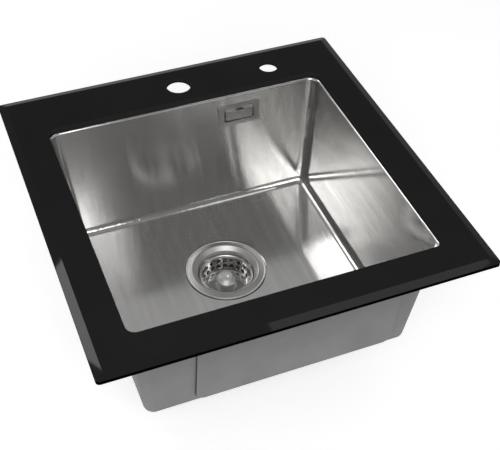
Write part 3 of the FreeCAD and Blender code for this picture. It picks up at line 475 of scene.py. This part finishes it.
# %% Brushed steel
STEEL = (0.62, 0.614, 0.606, 1.0)
STEEL_PALE = (0.74, 0.734, 0.724, 1.0)
STREAKS_UPRIGHT = (110.0, 110.0, 5.0)
STREAKS_ACROSS = (110.0, 5.0, 110.0)
STEEL_CLOUD = 11.0
STEEL_ROUGHNESS = (0.08, 0.10)
BACK_WALL_ROUGHER = 0.05


def steel_surface(tree):
    """Colour and roughness of brushed steel; streaks lie across the brush lines of each wall."""
    upright = place(tree, streaks, {"Stretch": STREAKS_UPRIGHT})["Value"]
    across = place(tree, streaks, {"Stretch": STREAKS_ACROSS})["Value"]
    back_wall = facing_mask(tree, "Y")
    colour = blend(tree, blend(tree, back_wall, across, upright), STEEL, STEEL_PALE)
    cloud = place(tree, cloudy, {"Scale": STEEL_CLOUD})["Value"]
    rougher = span(tree, back_wall, 0.0, BACK_WALL_ROUGHER)
    return colour, compute(tree, "ADD", span(tree, cloud, *STEEL_ROUGHNESS), rougher)


print("steel from", STEEL[:3], "to", STEEL_PALE[:3])

# %% [markdown]
# ### The bowl
# The bowl is bare steel inside and coated outside, but it is one solid. It could have two slots, but the
# finish can tell inside from outside by itself, by whether a surface faces the bowl's middle. An
# anisotropic shader with one direction for all walls draws the lights out across the brush lines.

# %% Bowl finish
STEEL_ANISOTROPY = 1.0
BRUSH_ACROSS = {"X": 0.0, "Y": 1.0, "Z": 0.02}
BOWL_MIDDLE = (0.0, -0.015, 0.005)
FLANGE_LEVEL = -3.0 * MM


def coat_mask(tree):
    """1 on the bowl's outside below the flange, 0 on bare steel."""
    position = object_place(tree)
    outward = combine(tree, "SUBTRACT", position, BOWL_MIDDLE)["Vector"]
    facing = combine(tree, "DOT_PRODUCT", outward, object_normal(tree))["Value"]
    below_flange = compute(tree, "LESS_THAN", parts(tree, position)["Z"], FLANGE_LEVEL)
    return compute(tree, "MULTIPLY", compute(tree, "GREATER_THAN", facing, 0.0), below_flange)


def make_bowl_steel():
    material, tree = new_finish("satin_bowl", {"Anisotropic": STEEL_ANISOTROPY})
    coated = coat_mask(tree)
    steel_colour, steel_roughness = steel_surface(tree)
    coat_colour, coat_roughness, grain = coat_surface(tree)
    relief = compute(tree, "MULTIPLY", grain, coated)
    feed(
        tree,
        {
            "Base Color": blend(tree, coated, steel_colour, coat_colour),
            "Roughness": blend(tree, coated, steel_roughness, coat_roughness),
            "Metallic": compute(tree, "SUBTRACT", 1.0, coated),
            "Normal": bump(tree, relief, COAT_RELIEF, COAT_BUMP),
            "Tangent": wire(tree, "ShaderNodeCombineXYZ", BRUSH_ACROSS).outputs[0],
        },
    )
    return material


FINISHES["bowl"] = make_bowl_steel()
print("finish:", FINISHES["bowl"].name)

# %% [markdown]
# ### Coated pads
# The rubber pads against drumming are sprayed over with the bowl, so their faces wear the coat. Their cut
# edges are dark: partly the bare rubber, partly painted shade along the edge. A pad's own facing direction
# tells the two apart, so there is one finish for each of the three directions.

# %% Pad finishes
PAD_EDGE_RUBBER_AND_SHADE = grey(0.012)
PAD_SPECULAR = 0.35


def make_sprayed_coat(axis):
    """The coat on a pad that faces along an axis; the pad's cut edges are dark, partly rubber and partly
    painted shade.
    """
    material, tree = new_finish(f"sprayed_pad_{axis}", {"Specular IOR Level": PAD_SPECULAR})
    colour, roughness, grain = coat_surface(tree)
    # Painted shade: the cut edges take a near-black colour, partly the rubber's own and partly standing
    # for shade.
    sprayed = blend(tree, facing_mask(tree, axis), PAD_EDGE_RUBBER_AND_SHADE, colour)
    relief = bump(tree, grain, COAT_RELIEF, COAT_BUMP)
    feed(tree, {"Base Color": sprayed, "Roughness": roughness, "Normal": relief})
    return material


for slot, axis in {"deadening_pad": "Y", "side_pad": "X", "floor_pad": "Z"}.items():
    FINISHES[slot] = make_sprayed_coat(axis)
    print("finish:", FINISHES[slot].name)

# %% [markdown]
# ### Polished steel
# The strainer, its basket and its knob are spun and polished, so very fine rings run round the drain's
# axis. Some zones are satin: the flange, which is darker too, the sloped mouth, the basket's rim and the
# knob. Each could have a finish of its own, but the distance from the axis tells them apart in one.

# %% Polished steel
DRAIN_AXIS = Vector((0.0, 0.015, 0.0))
RINGS_PER_METRE = 1400.0
RING_RELIEF = 0.02 * MM
RING_BUMP = 0.5
RING_ROUGHNESS = (0.07, 0.12)
POLISH_CLOUD = 60.0
CLOUD_ROUGHNESS = 0.04
KNOB_RADIUS = 15.8 * MM
RIM_RADIUS = 36.3 * MM
RIM_HALF = 1.3 * MM
MOUTH_RADIUS = 44.5 * MM
MOUTH_HALF = 4.5 * MM
FLANGE_RADIUS = 50.5 * MM
FLANGE_HALF = 4.0 * MM
OUTER_RADIUS = 40.0 * MM
KNOB_SATIN = 0.34
RIM_SATIN = 0.26
MOUTH_SATIN = 0.12
OUTER_SATIN = 0.24
POLISH_GREY = (0.66, 0.655, 0.645, 1.0)
POLISH_PALE = (0.74, 0.735, 0.725, 1.0)
FLANGE_GREY = (0.38, 0.376, 0.37, 1.0)


def make_polished_steel():
    material, tree = new_finish("polished_steel", {"Metallic": 1.0})
    sides = parts(tree, combine(tree, "SUBTRACT", object_place(tree), DRAIN_AXIS)["Vector"])
    flat = wire(tree, "ShaderNodeCombineXYZ", {"X": sides["X"], "Y": sides["Y"]}).outputs[0]
    radius = combine(tree, "LENGTH", flat)["Value"]
    spun = {"W": radius, "Scale": RINGS_PER_METRE, "Detail": 2.0}
    rings = wire(tree, "ShaderNodeTexNoise", spun, noise_dimensions="1D").outputs["Fac"]
    cloud = place(tree, cloudy, {"Scale": POLISH_CLOUD})["Value"]
    knob = compute(tree, "LESS_THAN", radius, KNOB_RADIUS)
    rim = compute(tree, "COMPARE", radius, RIM_RADIUS, RIM_HALF)
    mouth = compute(tree, "COMPARE", radius, MOUTH_RADIUS, MOUTH_HALF)
    flange = compute(tree, "COMPARE", radius, FLANGE_RADIUS, FLANGE_HALF)
    outer = compute(tree, "GREATER_THAN", radius, OUTER_RADIUS)
    roughness = span(tree, rings, *RING_ROUGHNESS)
    for zone, rougher in (
        (cloud, CLOUD_ROUGHNESS),
        (outer, OUTER_SATIN),
        (mouth, MOUTH_SATIN),
        (knob, KNOB_SATIN),
        (rim, RIM_SATIN),
    ):
        roughness = compute(tree, "ADD", roughness, span(tree, zone, 0.0, rougher))
    colour = blend(tree, flange, blend(tree, cloud, POLISH_GREY, POLISH_PALE), FLANGE_GREY)
    colour = blend(tree, knob, colour, POLISH_PALE)
    relief = bump(tree, rings, RING_RELIEF, RING_BUMP)
    feed(tree, {"Base Color": colour, "Roughness": roughness, "Normal": relief})
    return material


FINISHES["polished_steel"] = make_polished_steel()
print("finish:", FINISHES["polished_steel"].name)

# %% [markdown]
# ### Overflow plates
# The overflow is a frame with a cover plate in it, both of satin sheet. The gap round the cover reads as
# a dark line, and the cover's lips catch the light from above. Light alone would not show so small a
# gap, so an edge gets painted shade, except where it faces up: there it is worn dull and gets a painted
# highlight, pale on the cover and grey on the frame.

# %% Overflow plates
PLATE_GREY = (0.45, 0.446, 0.44, 1.0)
PLATE_PALE = (0.48, 0.476, 0.47, 1.0)
# Painted shade for the edges, then painted highlights for the edges that face up.
EDGE_SHADE = grey(0.06)
FRAME_EDGE_HIGHLIGHT = grey(0.36)
COVER_EDGE_HIGHLIGHT = grey(0.92)
EDGE_WEAR = 0.32
EDGE_FACING = (0.9, 0.98)
UPPER_FACING = (0.35, 0.55)
PLATE_CLOUD = 25.0
PLATE_ROUGHNESS = (0.22, 0.26)


def make_overflow_steel(name, edge_highlight):
    """A satin plate of the overflow; its edges get a painted shade line, and a painted highlight where
    they face up.
    """
    material, tree = new_finish(name, {"Metallic": 1.0})
    cloud = place(tree, cloudy, {"Scale": PLATE_CLOUD})["Value"]
    sides = parts(tree, object_normal(tree))
    edge = span(tree, compute(tree, "ABSOLUTE", sides["Y"]), 1.0, 0.0, *EDGE_FACING)
    highlit_and_worn = span(tree, sides["Z"], 0.0, 1.0, *UPPER_FACING)
    # Painted shade on the edges, and a painted highlight where they face up; these are also rougher there.
    edge_shade_and_highlight = blend(tree, highlit_and_worn, EDGE_SHADE, edge_highlight)
    colour = blend(tree, edge, blend(tree, cloud, PLATE_GREY, PLATE_PALE), edge_shade_and_highlight)
    worn = compute(tree, "MULTIPLY", edge, span(tree, highlit_and_worn, 0.0, EDGE_WEAR))
    roughness = compute(tree, "ADD", span(tree, cloud, *PLATE_ROUGHNESS), worn)
    feed(tree, {"Base Color": colour, "Roughness": roughness})
    return material


# The frame's up-facing edges get a grey painted highlight, the cover's a pale one.
for name, edge_highlight in {"overflow_frame": FRAME_EDGE_HIGHLIGHT, "overflow_cover": COVER_EDGE_HIGHLIGHT}.items():
    FINISHES[name] = make_overflow_steel(f"{name}_steel", edge_highlight)
    print("finish:", FINISHES[name].name)

# %% [markdown]
# ### Zinc plate
# The clips, studs and screws under the sink are zinc plated: a bluish grey with cloudy patches where the
# plating was passivated. Fine pits keep it dull, so it can't be mistaken for the polished steel.

# %% Zinc plate
ZINC_BLUE = (0.50, 0.52, 0.56, 1.0)
ZINC_WARM = (0.62, 0.62, 0.60, 1.0)
ZINC_CLOUD = 160.0
ZINC_GRAIN = 2200.0
ZINC_ROUGHNESS = (0.26, 0.38)
PIT_ROUGHNESS = 0.1
ZINC_RELIEF = 0.03 * MM
ZINC_BUMP = 0.5


def make_zinc_plate():
    material, tree = new_finish("zinc_plate", {"Metallic": 1.0})
    cloud = place(tree, cloudy, {"Scale": ZINC_CLOUD})["Value"]
    grain = place(tree, pebble, {"Scale": ZINC_GRAIN})
    colour = blend(tree, cloud, ZINC_BLUE, ZINC_WARM)
    pitted = span(tree, grain["Pits"], 0.0, PIT_ROUGHNESS)
    roughness = compute(tree, "ADD", span(tree, cloud, *ZINC_ROUGHNESS), pitted)
    relief = bump(tree, grain["Height"], ZINC_RELIEF, ZINC_BUMP)
    feed(tree, {"Base Color": colour, "Roughness": roughness, "Normal": relief})
    return material


FINISHES["zinc_steel"] = make_zinc_plate()
print("finish:", FINISHES["zinc_steel"].name)

# %% [markdown]
# ### Rubber, foam and plastic
# The seals are black: moulded rubber has a fine grain, foam has open pores, and the bond under the glass
# is glossier. The waste and the overflow elbow are moulded in white plastic, and the hose in a greyer one.
# They differ only in values, so one helper makes all five.

# %% Rubber, foam and plastic
FOAM_BLACK = grey(0.022)
FOAM_PALE = grey(0.035)
BOND_BLACK = grey(0.04)
BOND_PALE = grey(0.055)
RUBBER_BLACK = grey(0.03)
RUBBER_PALE = grey(0.045)
WASTE_WHITE = (0.72, 0.72, 0.70, 1.0)
WASTE_PALE = (0.78, 0.78, 0.76, 1.0)
HOSE_GREY = (0.56, 0.56, 0.55, 1.0)
HOSE_PALE = (0.64, 0.64, 0.63, 1.0)
DULL_CLOUD = 45.0
DULL_SPREAD = 0.08
DULL_BUMP = 0.7


def make_dull(name, dark, pale, roughness, grain, relief, specular=0.4, pits=False):
    """Adds a matte moulded finish: cloudy colour, and a relief of grains or of pores."""
    material, tree = new_finish(name, {"Specular IOR Level": specular})
    cloud = place(tree, cloudy, {"Scale": DULL_CLOUD})["Value"]
    height = place(tree, pebble, {"Scale": grain})["Pits" if pits else "Height"]
    feed(
        tree,
        {
            "Base Color": blend(tree, cloud, dark, pale),
            "Roughness": span(tree, height, roughness - DULL_SPREAD, roughness + DULL_SPREAD),
            "Normal": bump(tree, height, relief, DULL_BUMP),
        },
    )
    FINISHES[name] = material


make_dull(
    "seal_foam",
    FOAM_BLACK,
    FOAM_PALE,
    roughness=0.85,
    grain=900.0,
    relief=0.3 * MM,
    specular=0.2,
    pits=True,
)
make_dull("adhesive", BOND_BLACK, BOND_PALE, roughness=0.4, grain=300.0, relief=0.1 * MM)
make_dull("rubber", RUBBER_BLACK, RUBBER_PALE, roughness=0.55, grain=1500.0, relief=0.05 * MM)
make_dull("waste_plastic", WASTE_WHITE, WASTE_PALE, roughness=0.38, grain=1300.0, relief=0.03 * MM)
make_dull("hose_plastic", HOSE_GREY, HOSE_PALE, roughness=0.42, grain=1100.0, relief=0.03 * MM)
print("finishes:", sorted(FINISHES))

# %% [markdown]
# ## Finishes on the solids
# Each solid arrives with a material that is only a name, the slot of its piece. Swapping it for the
# finish of that name dresses the solid without touching its shape. The bowl and the overflow's two plates
# share a slot but not a look, so each of them has a finish under its own name, which comes first.

# %% Put the finishes on the solids
for name, node in nodes.items():
    slot = node.data.materials[0].name
    node.data.materials[0] = FINISHES[name if name in FINISHES else slot]
print({name: node.data.materials[0].name for name, node in nodes.items()})

# %% [markdown]
# ## New pieces
# Some solids are plainer than the real piece: the studs have no thread, the hose clips no slots and the
# soft pads no rounded edge. Such detail is hard to add to the solid itself, so a new mesh takes its place,
# and the solid stays in the model unseen. The mesh gets a finish, rides on the sink's own body, and is
# shaded smooth except at its sharp edges.

# %% New pieces
SHARP = math.radians(38)


def finish_piece(name, mesh, node, slot, finish=None):
    """Shades a mesh smooth up to its sharp edges and lets it stand for a solid, or add to it."""
    mesh.shade_smooth()
    mesh.set_sharp_from_angle(angle=SHARP)
    mesh.materials.clear()
    mesh.materials.append(FINISHES[finish or slot])
    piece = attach(add_object(name, mesh), "sink")
    if node:
        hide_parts(node)
    print(name, "faces:", len(mesh.polygons))
    return piece


print("edges over", round(math.degrees(SHARP)), "degrees stay sharp")

# %% [markdown]
# ### Meshes made of rings
# A hose, a band or a moulding is one outline carried along a path. Blender's curves can do that with a
# bevel, but ribs and slots change the outline on the way, so here the rings of points are worked out one
# by one and joined by faces. A skin that loops back on itself is closed, as a real wall is.

# %% Ring meshes
WELD = 0.01 * MM


def join_rings(rings, loop):
    """Points and faces of a skin over rings of equal length; without loop its ends are capped."""
    count = len(rings[0])
    points = [point for ring in rings for point in ring]
    faces = []
    for index in range(len(rings) if loop else len(rings) - 1):
        here = index * count
        there = (index + 1) % len(rings) * count
        for side in range(count):
            beside = (side + 1) % count
            faces.append((here + side, here + beside, there + beside, there + side))
    if not loop:
        faces.append(tuple(reversed(range(count))))
        faces.append(tuple(range(len(points) - count, len(points))))
    return points, faces


def join_skins(name, skins):
    """One mesh of several closed skins; points that fall together are welded."""
    points, faces = [], []
    for skin_points, skin_faces in skins:
        first = len(points)
        points += skin_points
        faces += [tuple(first + corner for corner in face) for face in skin_faces]
    mesh = bpy.data.meshes.new(name)
    mesh.from_pydata(points, [], faces)
    shape = bmesh.new()
    shape.from_mesh(mesh)
    bmesh.ops.remove_doubles(shape, verts=shape.verts, dist=WELD)
    shape.to_mesh(mesh)
    shape.free()
    return mesh


print("points closer than", WELD / MM, "mm are welded")

# %% [markdown]
# ### The overflow hose
# Water that reaches the overflow runs down a ribbed plastic hose to the waste. Its smooth cuffs slip over
# two spigots, so its route is set by the sink: down behind the back wall, round one bend, and level to
# the waste. Straight runs with a round arc between them could be worked out. A smooth curve that a few
# points guide is simpler and close to that: it is straight where they lie in a row, and it leaves the arc
# by under 3 mm, because it bends most in the middle of the turn.

# %% Hose line
HOSE_ROUTE = (
    (77.5, 183.6, -52.37),
    (77.5, 177.07, -121.93),
    (77.5, 168.47, -213.5),
    (36.04, 86.37, -213.5),
    (23.44, 61.42, -213.5),
)
ROUTE_STEPS = 60


def route_line(points):
    """Points along a smooth curve that the given points guide."""
    curve = bpy.data.curves.new("hose_route", "CURVE")
    curve.dimensions = "3D"
    spline = curve.splines.new("NURBS")
    spline.points.add(len(points) - 1)
    for control, point in zip(spline.points, points):
        control.co = (*(Vector(point) * MM), 1.0)
    spline.order_u = 3
    spline.use_endpoint_u = True
    spline.resolution_u = ROUTE_STEPS
    line = bpy.data.meshes.new_from_object(bpy.data.objects.new("hose_route", curve))
    return [vertex.co.copy() for vertex in line.vertices]


def along_line(line, distance):
    """The place and heading at a distance from the line's start."""
    for first, second in zip(line, line[1:]):
        step = (second - first).length
        if distance <= step:
            break
        distance -= step
    heading = (second - first).normalized()
    return first + heading * distance, heading


hose_line = route_line(HOSE_ROUTE)
hose_length = sum((second - first).length for first, second in zip(hose_line, hose_line[1:]))
print("hose length in mm:", round(hose_length / MM, 1))

# %% [markdown]
# The hose's wall is a skin of rings along that line. Outside, their radius swells and shrinks once for
# each rib, and the cuffs stay plain. A bump in the finish could fake the ribs, but not their outline.
# Inside, the skin runs back along the smooth bore, so the wall has a real thickness.

# %% Overflow hose
HOSE_BORE = 10.1 * MM
HOSE_VALLEY = 11.5 * MM
HOSE_CREST = 13.1 * MM
HOSE_CUFF = 26.0 * MM
HOSE_RIBS = 42
HOSE_SIDES = 40
RIB_STEPS = 8
RIB_FULLNESS = 0.6


def tube_ring(line, distance, radius, across):
    """A circle round the line; across is the side on which its points start."""
    centre, heading = along_line(line, distance)
    beside = heading.cross(across)
    angles = [math.tau * side / HOSE_SIDES for side in range(HOSE_SIDES)]
    return [centre + (across * math.cos(a) + beside * math.sin(a)) * radius for a in angles]


bend_normal = (hose_line[1] - hose_line[0]).cross(hose_line[-1] - hose_line[-2]).normalized()
rib_pitch = (hose_length - 2 * HOSE_CUFF) / HOSE_RIBS
hose_profile = [(0.0, HOSE_VALLEY)]
for step in range(HOSE_RIBS * RIB_STEPS + 1):
    swell = (0.5 - 0.5 * math.cos(math.tau * step / RIB_STEPS)) ** RIB_FULLNESS
    radius = HOSE_VALLEY + (HOSE_CREST - HOSE_VALLEY) * swell
    hose_profile.append((HOSE_CUFF + rib_pitch * step / RIB_STEPS, radius))
hose_profile.append((hose_length, HOSE_VALLEY))
bore_profile = [(distance, HOSE_BORE) for distance, _ in reversed(hose_profile)]
hose_rings = [tube_ring(hose_line, *stop, bend_normal) for stop in hose_profile + bore_profile]
hose_mesh = join_skins("ribbed_hose", [join_rings(hose_rings, loop=True)])
finish_piece("ribbed_hose", hose_mesh, "overflow_hose", "hose_plastic")

# %% [markdown]
# ### Threaded studs
# Six studs are welded under the flange, and a wing nut runs on each. A thread is one ridge that winds
# round a core. Blender's screw modifier could draw it, but its ends would stay open. So its points climb
# a helix in two lanes, root and crest, and the faces between the lanes are the thread's two flanks.

# %% Threaded studs
THREAD_CREST = 2.5 * MM
THREAD_ROOT = 2.05 * MM
THREAD_PITCH = 0.8 * MM
THREAD_SIDES = 16


def thread_skin(axis, low, high):
    """A closed screw thread from one level to another round an upright axis."""
    steps = round((high - low) / THREAD_PITCH * THREAD_SIDES) - THREAD_SIDES

    def climb(step, radius, rise):
        turn = math.tau * step / THREAD_SIDES
        level = low + rise + THREAD_PITCH * step / THREAD_SIDES
        return Vector((axis.x + radius * math.cos(turn), axis.y + radius * math.sin(turn), level))

    roots = [climb(step, THREAD_ROOT, 0.0) for step in range(steps + THREAD_SIDES + 1)]
    crests = [climb(step, THREAD_CREST, THREAD_PITCH / 2) for step in range(steps + 1)]
    first = len(roots)
    lower_end = (first, *range(THREAD_SIDES, -1, -1))
    upper_end = (first + steps, *range(steps, steps + THREAD_SIDES + 1))
    faces = [lower_end, upper_end]
    for step in range(steps):
        crest = first + step
        above = step + THREAD_SIDES
        faces.append((step, step + 1, crest + 1, crest))
        faces.append((crest, crest + 1, above + 1, above))
    return roots + crests, faces


stud_low, stud_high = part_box("clip_studs")
swings = [joint for joint in frame["joints"] if joint["name"].startswith("arm_swing")]
threads = [thread_skin(Vector(joint["pos_m"]), stud_low.z, stud_high.z) for joint in swings]
finish_piece("threaded_studs", join_skins("threaded_studs", threads), "clip_studs", "zinc_steel")

# %% [markdown]
# ### Worm-drive clips
# A steel band squeezes each end of the hose on its spigot. A screw lies along the band in a housing, and
# its thread bites into slanted slots that are pressed round the band. A flat ring with a picture of slots
# would look painted, so the band is a ring whose outer rows dip at each slot.

# %% Slotted band
BAND_INSIDE = 11.55 * MM
BAND_OUTSIDE = 12.55 * MM
BAND_DIP = 12.15 * MM
BAND_HALF = 4.5 * MM
BAND_STEPS = 4
SLOT_HALF = 2.6 * MM
SLOT_SLANT = 0.05
SLOT_COUNT = 44


def band_skin():
    """The slotted band, round the local Z axis; the slots slant a little."""
    rings = []
    for step in range(SLOT_COUNT * BAND_STEPS):
        turn = math.tau * step / (SLOT_COUNT * BAND_STEPS)
        middle = BAND_DIP if step % BAND_STEPS < BAND_STEPS / 2 else BAND_OUTSIDE
        rows = [
            (BAND_INSIDE, -BAND_HALF, 0.0),
            (BAND_OUTSIDE, -BAND_HALF, 0.0),
            (BAND_OUTSIDE, -SLOT_HALF, -SLOT_SLANT),
            (middle, -SLOT_HALF, -SLOT_SLANT),
            (middle, SLOT_HALF, SLOT_SLANT),
            (BAND_OUTSIDE, SLOT_HALF, SLOT_SLANT),
            (BAND_OUTSIDE, BAND_HALF, 0.0),
            (BAND_INSIDE, BAND_HALF, 0.0),
        ]
        rings.append(
            [Vector((r * math.sin(turn + lean), r * math.cos(turn + lean), z)) for r, z, lean in rows]
        )
    return join_rings(rings, loop=True)


print("band faces:", len(band_skin()[1]))

# %% [markdown]
# The housing is an arch of sheet over the screw, slightly drawn in at its two ends. The screw is a turned
# piece: a round shank, a collar and a hexagon head. Both are rings along the screw, so the ring helper
# makes them too.

# %% Housing and screw
HOUSING_BASE = 12.3 * MM
HOUSING_HALF = 5.0 * MM
HOUSING_RISE = 3.1 * MM
HOUSING_REACH = 3.9 * MM
HOUSING_LIP = 0.4 * MM
HOUSING_PINCH = 0.97
SCREW_LEVEL = 15.4 * MM
SCREW_SIDES = 24
SCREW_SHANK = ((-6.2, 1.8), (-5.8, 2.4), (5.2, 2.4), (5.3, 3.9), (5.9, 4.0))
SCREW_HEAD = ((6.1, 3.4), (8.6, 3.4), (9.0, 2.9))
HEAD_SECTOR = math.tau / 6


def housing_skin():
    """The arched housing over the screw, drawn along the local X axis."""
    arch = [(HOUSING_BASE, BAND_HALF)]
    for step in range(SCREW_SIDES // 2 + 1):
        turn = math.pi * step / (SCREW_SIDES // 2)
        arch.append((SCREW_LEVEL + HOUSING_RISE * math.sin(turn), HOUSING_REACH * math.cos(turn)))
    arch.append((HOUSING_BASE, -BAND_HALF))
    arch.reverse()
    inner = HOUSING_HALF - HOUSING_LIP
    ends = ((-HOUSING_HALF, HOUSING_PINCH), (-inner, 1.0), (inner, 1.0), (HOUSING_HALF, HOUSING_PINCH))
    rings = []
    for x, share in ends:
        rings.append([Vector((x, HOUSING_BASE + (y - HOUSING_BASE) * share, z * share)) for y, z in arch])
    return join_rings(rings, loop=False)


def screw_skin():
    """The screw's shank and its collared hexagon head, along the local X axis."""
    rings = []
    for x, radius in SCREW_SHANK + SCREW_HEAD:
        ring = []
        for side in range(SCREW_SIDES):
            turn = math.tau * side / SCREW_SIDES
            flat = math.cos(HEAD_SECTOR / 2) / math.cos(turn % HEAD_SECTOR - HEAD_SECTOR / 2)
            reach = radius * MM * (flat if (x, radius) in SCREW_HEAD else 1.0)
            ring.append(Vector((x * MM, SCREW_LEVEL + reach * math.cos(turn), reach * math.sin(turn))))
        rings.append(ring)
    return join_rings(rings, loop=False)


print("housing faces:", len(housing_skin()[1]), "screw faces:", len(screw_skin()[1]))

# %% [markdown]
# Each clip is turned so that its housing stands where it stands on the solid. The turn could be copied
# from the construction, but the middle of the solid's box lies off the hose's line on that side and
# gives it directly.

# %% Worm-drive clips
CLIP_INSET = 12.5 * MM


def make_worm_clip(name, node, distance):
    """A clip round the hose at a distance from its start, turned as the solid clip is."""
    centre, heading = along_line(hose_line, distance)
    low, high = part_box(node)
    lug = (low + high) / 2 - centre
    lug = (lug - heading * lug.dot(heading)).normalized()
    turn = Matrix((lug.cross(heading), lug, heading)).transposed()
    mesh = join_skins(name, [band_skin(), housing_skin(), screw_skin()])
    mesh.transform(Matrix.Translation(centre) @ turn.to_4x4())
    finish_piece(name, mesh, node, "zinc_steel")


make_worm_clip("worm_clip_upper", "hose_clip_upper", CLIP_INSET)
make_worm_clip("worm_clip_lower", "hose_clip_lower", hose_length - CLIP_INSET)

# %% [markdown]
# ### Rolled edge of the waste flange
# The flange of the waste is spun from thin sheet, and its outer edge is rolled under. The roll catches
# light as a thin bright ring. The solid flange is a plain cone, so the roll is added as a ring with an
# oval outline, seated in its surface.

# %% Flange roll
ROLL_RADIUS = 56.2 * MM
ROLL_DROP = 1.8 * MM
ROLL_HALF = 1.2 * MM
ROLL_RISE = 1.0 * MM
ROLL_SIDES = 96
ROLL_STEPS = 14


def roll_skin(level):
    """A ring round the drain's axis with an oval outline."""
    rings = []
    for side in range(ROLL_SIDES):
        turn = math.tau * side / ROLL_SIDES
        ring = []
        for step in range(ROLL_STEPS):
            round_turn = math.tau * step / ROLL_STEPS
            reach = ROLL_RADIUS + ROLL_HALF * math.cos(round_turn)
            height = level + ROLL_RISE * math.sin(round_turn)
            ring.append(DRAIN_AXIS + Vector((reach * math.cos(turn), reach * math.sin(turn), height)))
        rings.append(ring)
    return join_rings(rings, loop=True)


roll_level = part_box("strainer_cup")[1].z - ROLL_DROP
roll_mesh = join_skins("flange_roll", [roll_skin(roll_level)])
finish_piece("flange_roll", roll_mesh, None, "polished_steel")

# %% [markdown]
# ### Eased edges
# No sheet-metal edge is knife sharp: pressing and polishing leave a small round that catches a line of
# light. The solids have sharp edges, so these pieces get a bevel modifier. It works on clean faces, so
# the mesh is welded and its needless edges are dissolved first. The knob is round already and is only
# welded.

# %% Eased edges
EASED = {
    "overflow_frame": 0.7 * MM,
    "overflow_cover": 0.7 * MM,
    "strainer_basket": 0.25 * MM,
}
EASE_SEGMENTS = 2
FLAT_ANGLE = math.radians(0.5)

for name, width in EASED.items():
    nodes[name].modifiers.new("weld", "WELD").merge_threshold = WELD
    flat = nodes[name].modifiers.new("flat_faces", "DECIMATE")
    flat.decimate_type = "DISSOLVE"
    flat.angle_limit = FLAT_ANGLE
    ease = nodes[name].modifiers.new("eased_edge", "BEVEL")
    ease.width = width
    ease.segments = EASE_SEGMENTS
    ease.limit_method = "ANGLE"
    ease.harden_normals = False
    nodes[name].modifiers.new("even_faces", "WEIGHTED_NORMAL").keep_sharp = True
nodes["basket_knob"].modifiers.new("weld", "WELD").merge_threshold = WELD
print("eased:", sorted(EASED))

# %% [markdown]
# ### Soft pads and the rim seal
# Rubber pads are stuck to the bowl's outside against drumming, then sprayed over with the coat, which
# rounds their edges. A foam strip under the glass seals it to the worktop. Both have a solid of the right
# size with hard edges. A copy of that solid, welded, freed of needless edges and rolled over along its
# rim, comes closer to the real soft piece.

# %% Soft pads and seal
RIM_ANGLE = math.radians(50)
PAD_ROLL = 1.8 * MM
SEAL_ROLL = 0.5 * MM
SOFT_SEGMENTS = 4
PAD_FINISHES = {
    "front": "deadening_pad",
    "back": "deadening_pad",
    "right": "side_pad",
    "left": "side_pad",
    "floor": "floor_pad",
}


def make_soft_copy(name, node, slot, roll, finish=None):
    """A copy of a soft solid with its rim rolled over."""
    shape = bmesh.new()
    shape.from_mesh(nodes[node].data)
    bmesh.ops.remove_doubles(shape, verts=shape.verts, dist=WELD)
    bmesh.ops.dissolve_limit(shape, angle_limit=FLAT_ANGLE, verts=shape.verts, edges=shape.edges)
    rim = [edge for edge in shape.edges if edge.is_manifold and edge.calc_face_angle() > RIM_ANGLE]
    bmesh.ops.bevel(
        shape,
        geom=rim,
        offset=roll,
        segments=SOFT_SEGMENTS,
        profile=0.5,
        affect="EDGES",
        clamp_overlap=True,
    )
    mesh = bpy.data.meshes.new(name)
    shape.to_mesh(mesh)
    shape.free()
    if "custom_normal" in mesh.attributes:
        mesh.attributes.remove(mesh.attributes["custom_normal"])
    piece = finish_piece(name, mesh, node, slot, finish)
    piece.modifiers.new("even_faces", "WEIGHTED_NORMAL").keep_sharp = True


for side, finish in PAD_FINISHES.items():
    make_soft_copy(f"deadening_pad_{side}", f"pad_{side}", "deadening_pad", PAD_ROLL, finish)
make_soft_copy("foam_rim_seal", "rim_gasket", "seal_foam", SEAL_ROLL)
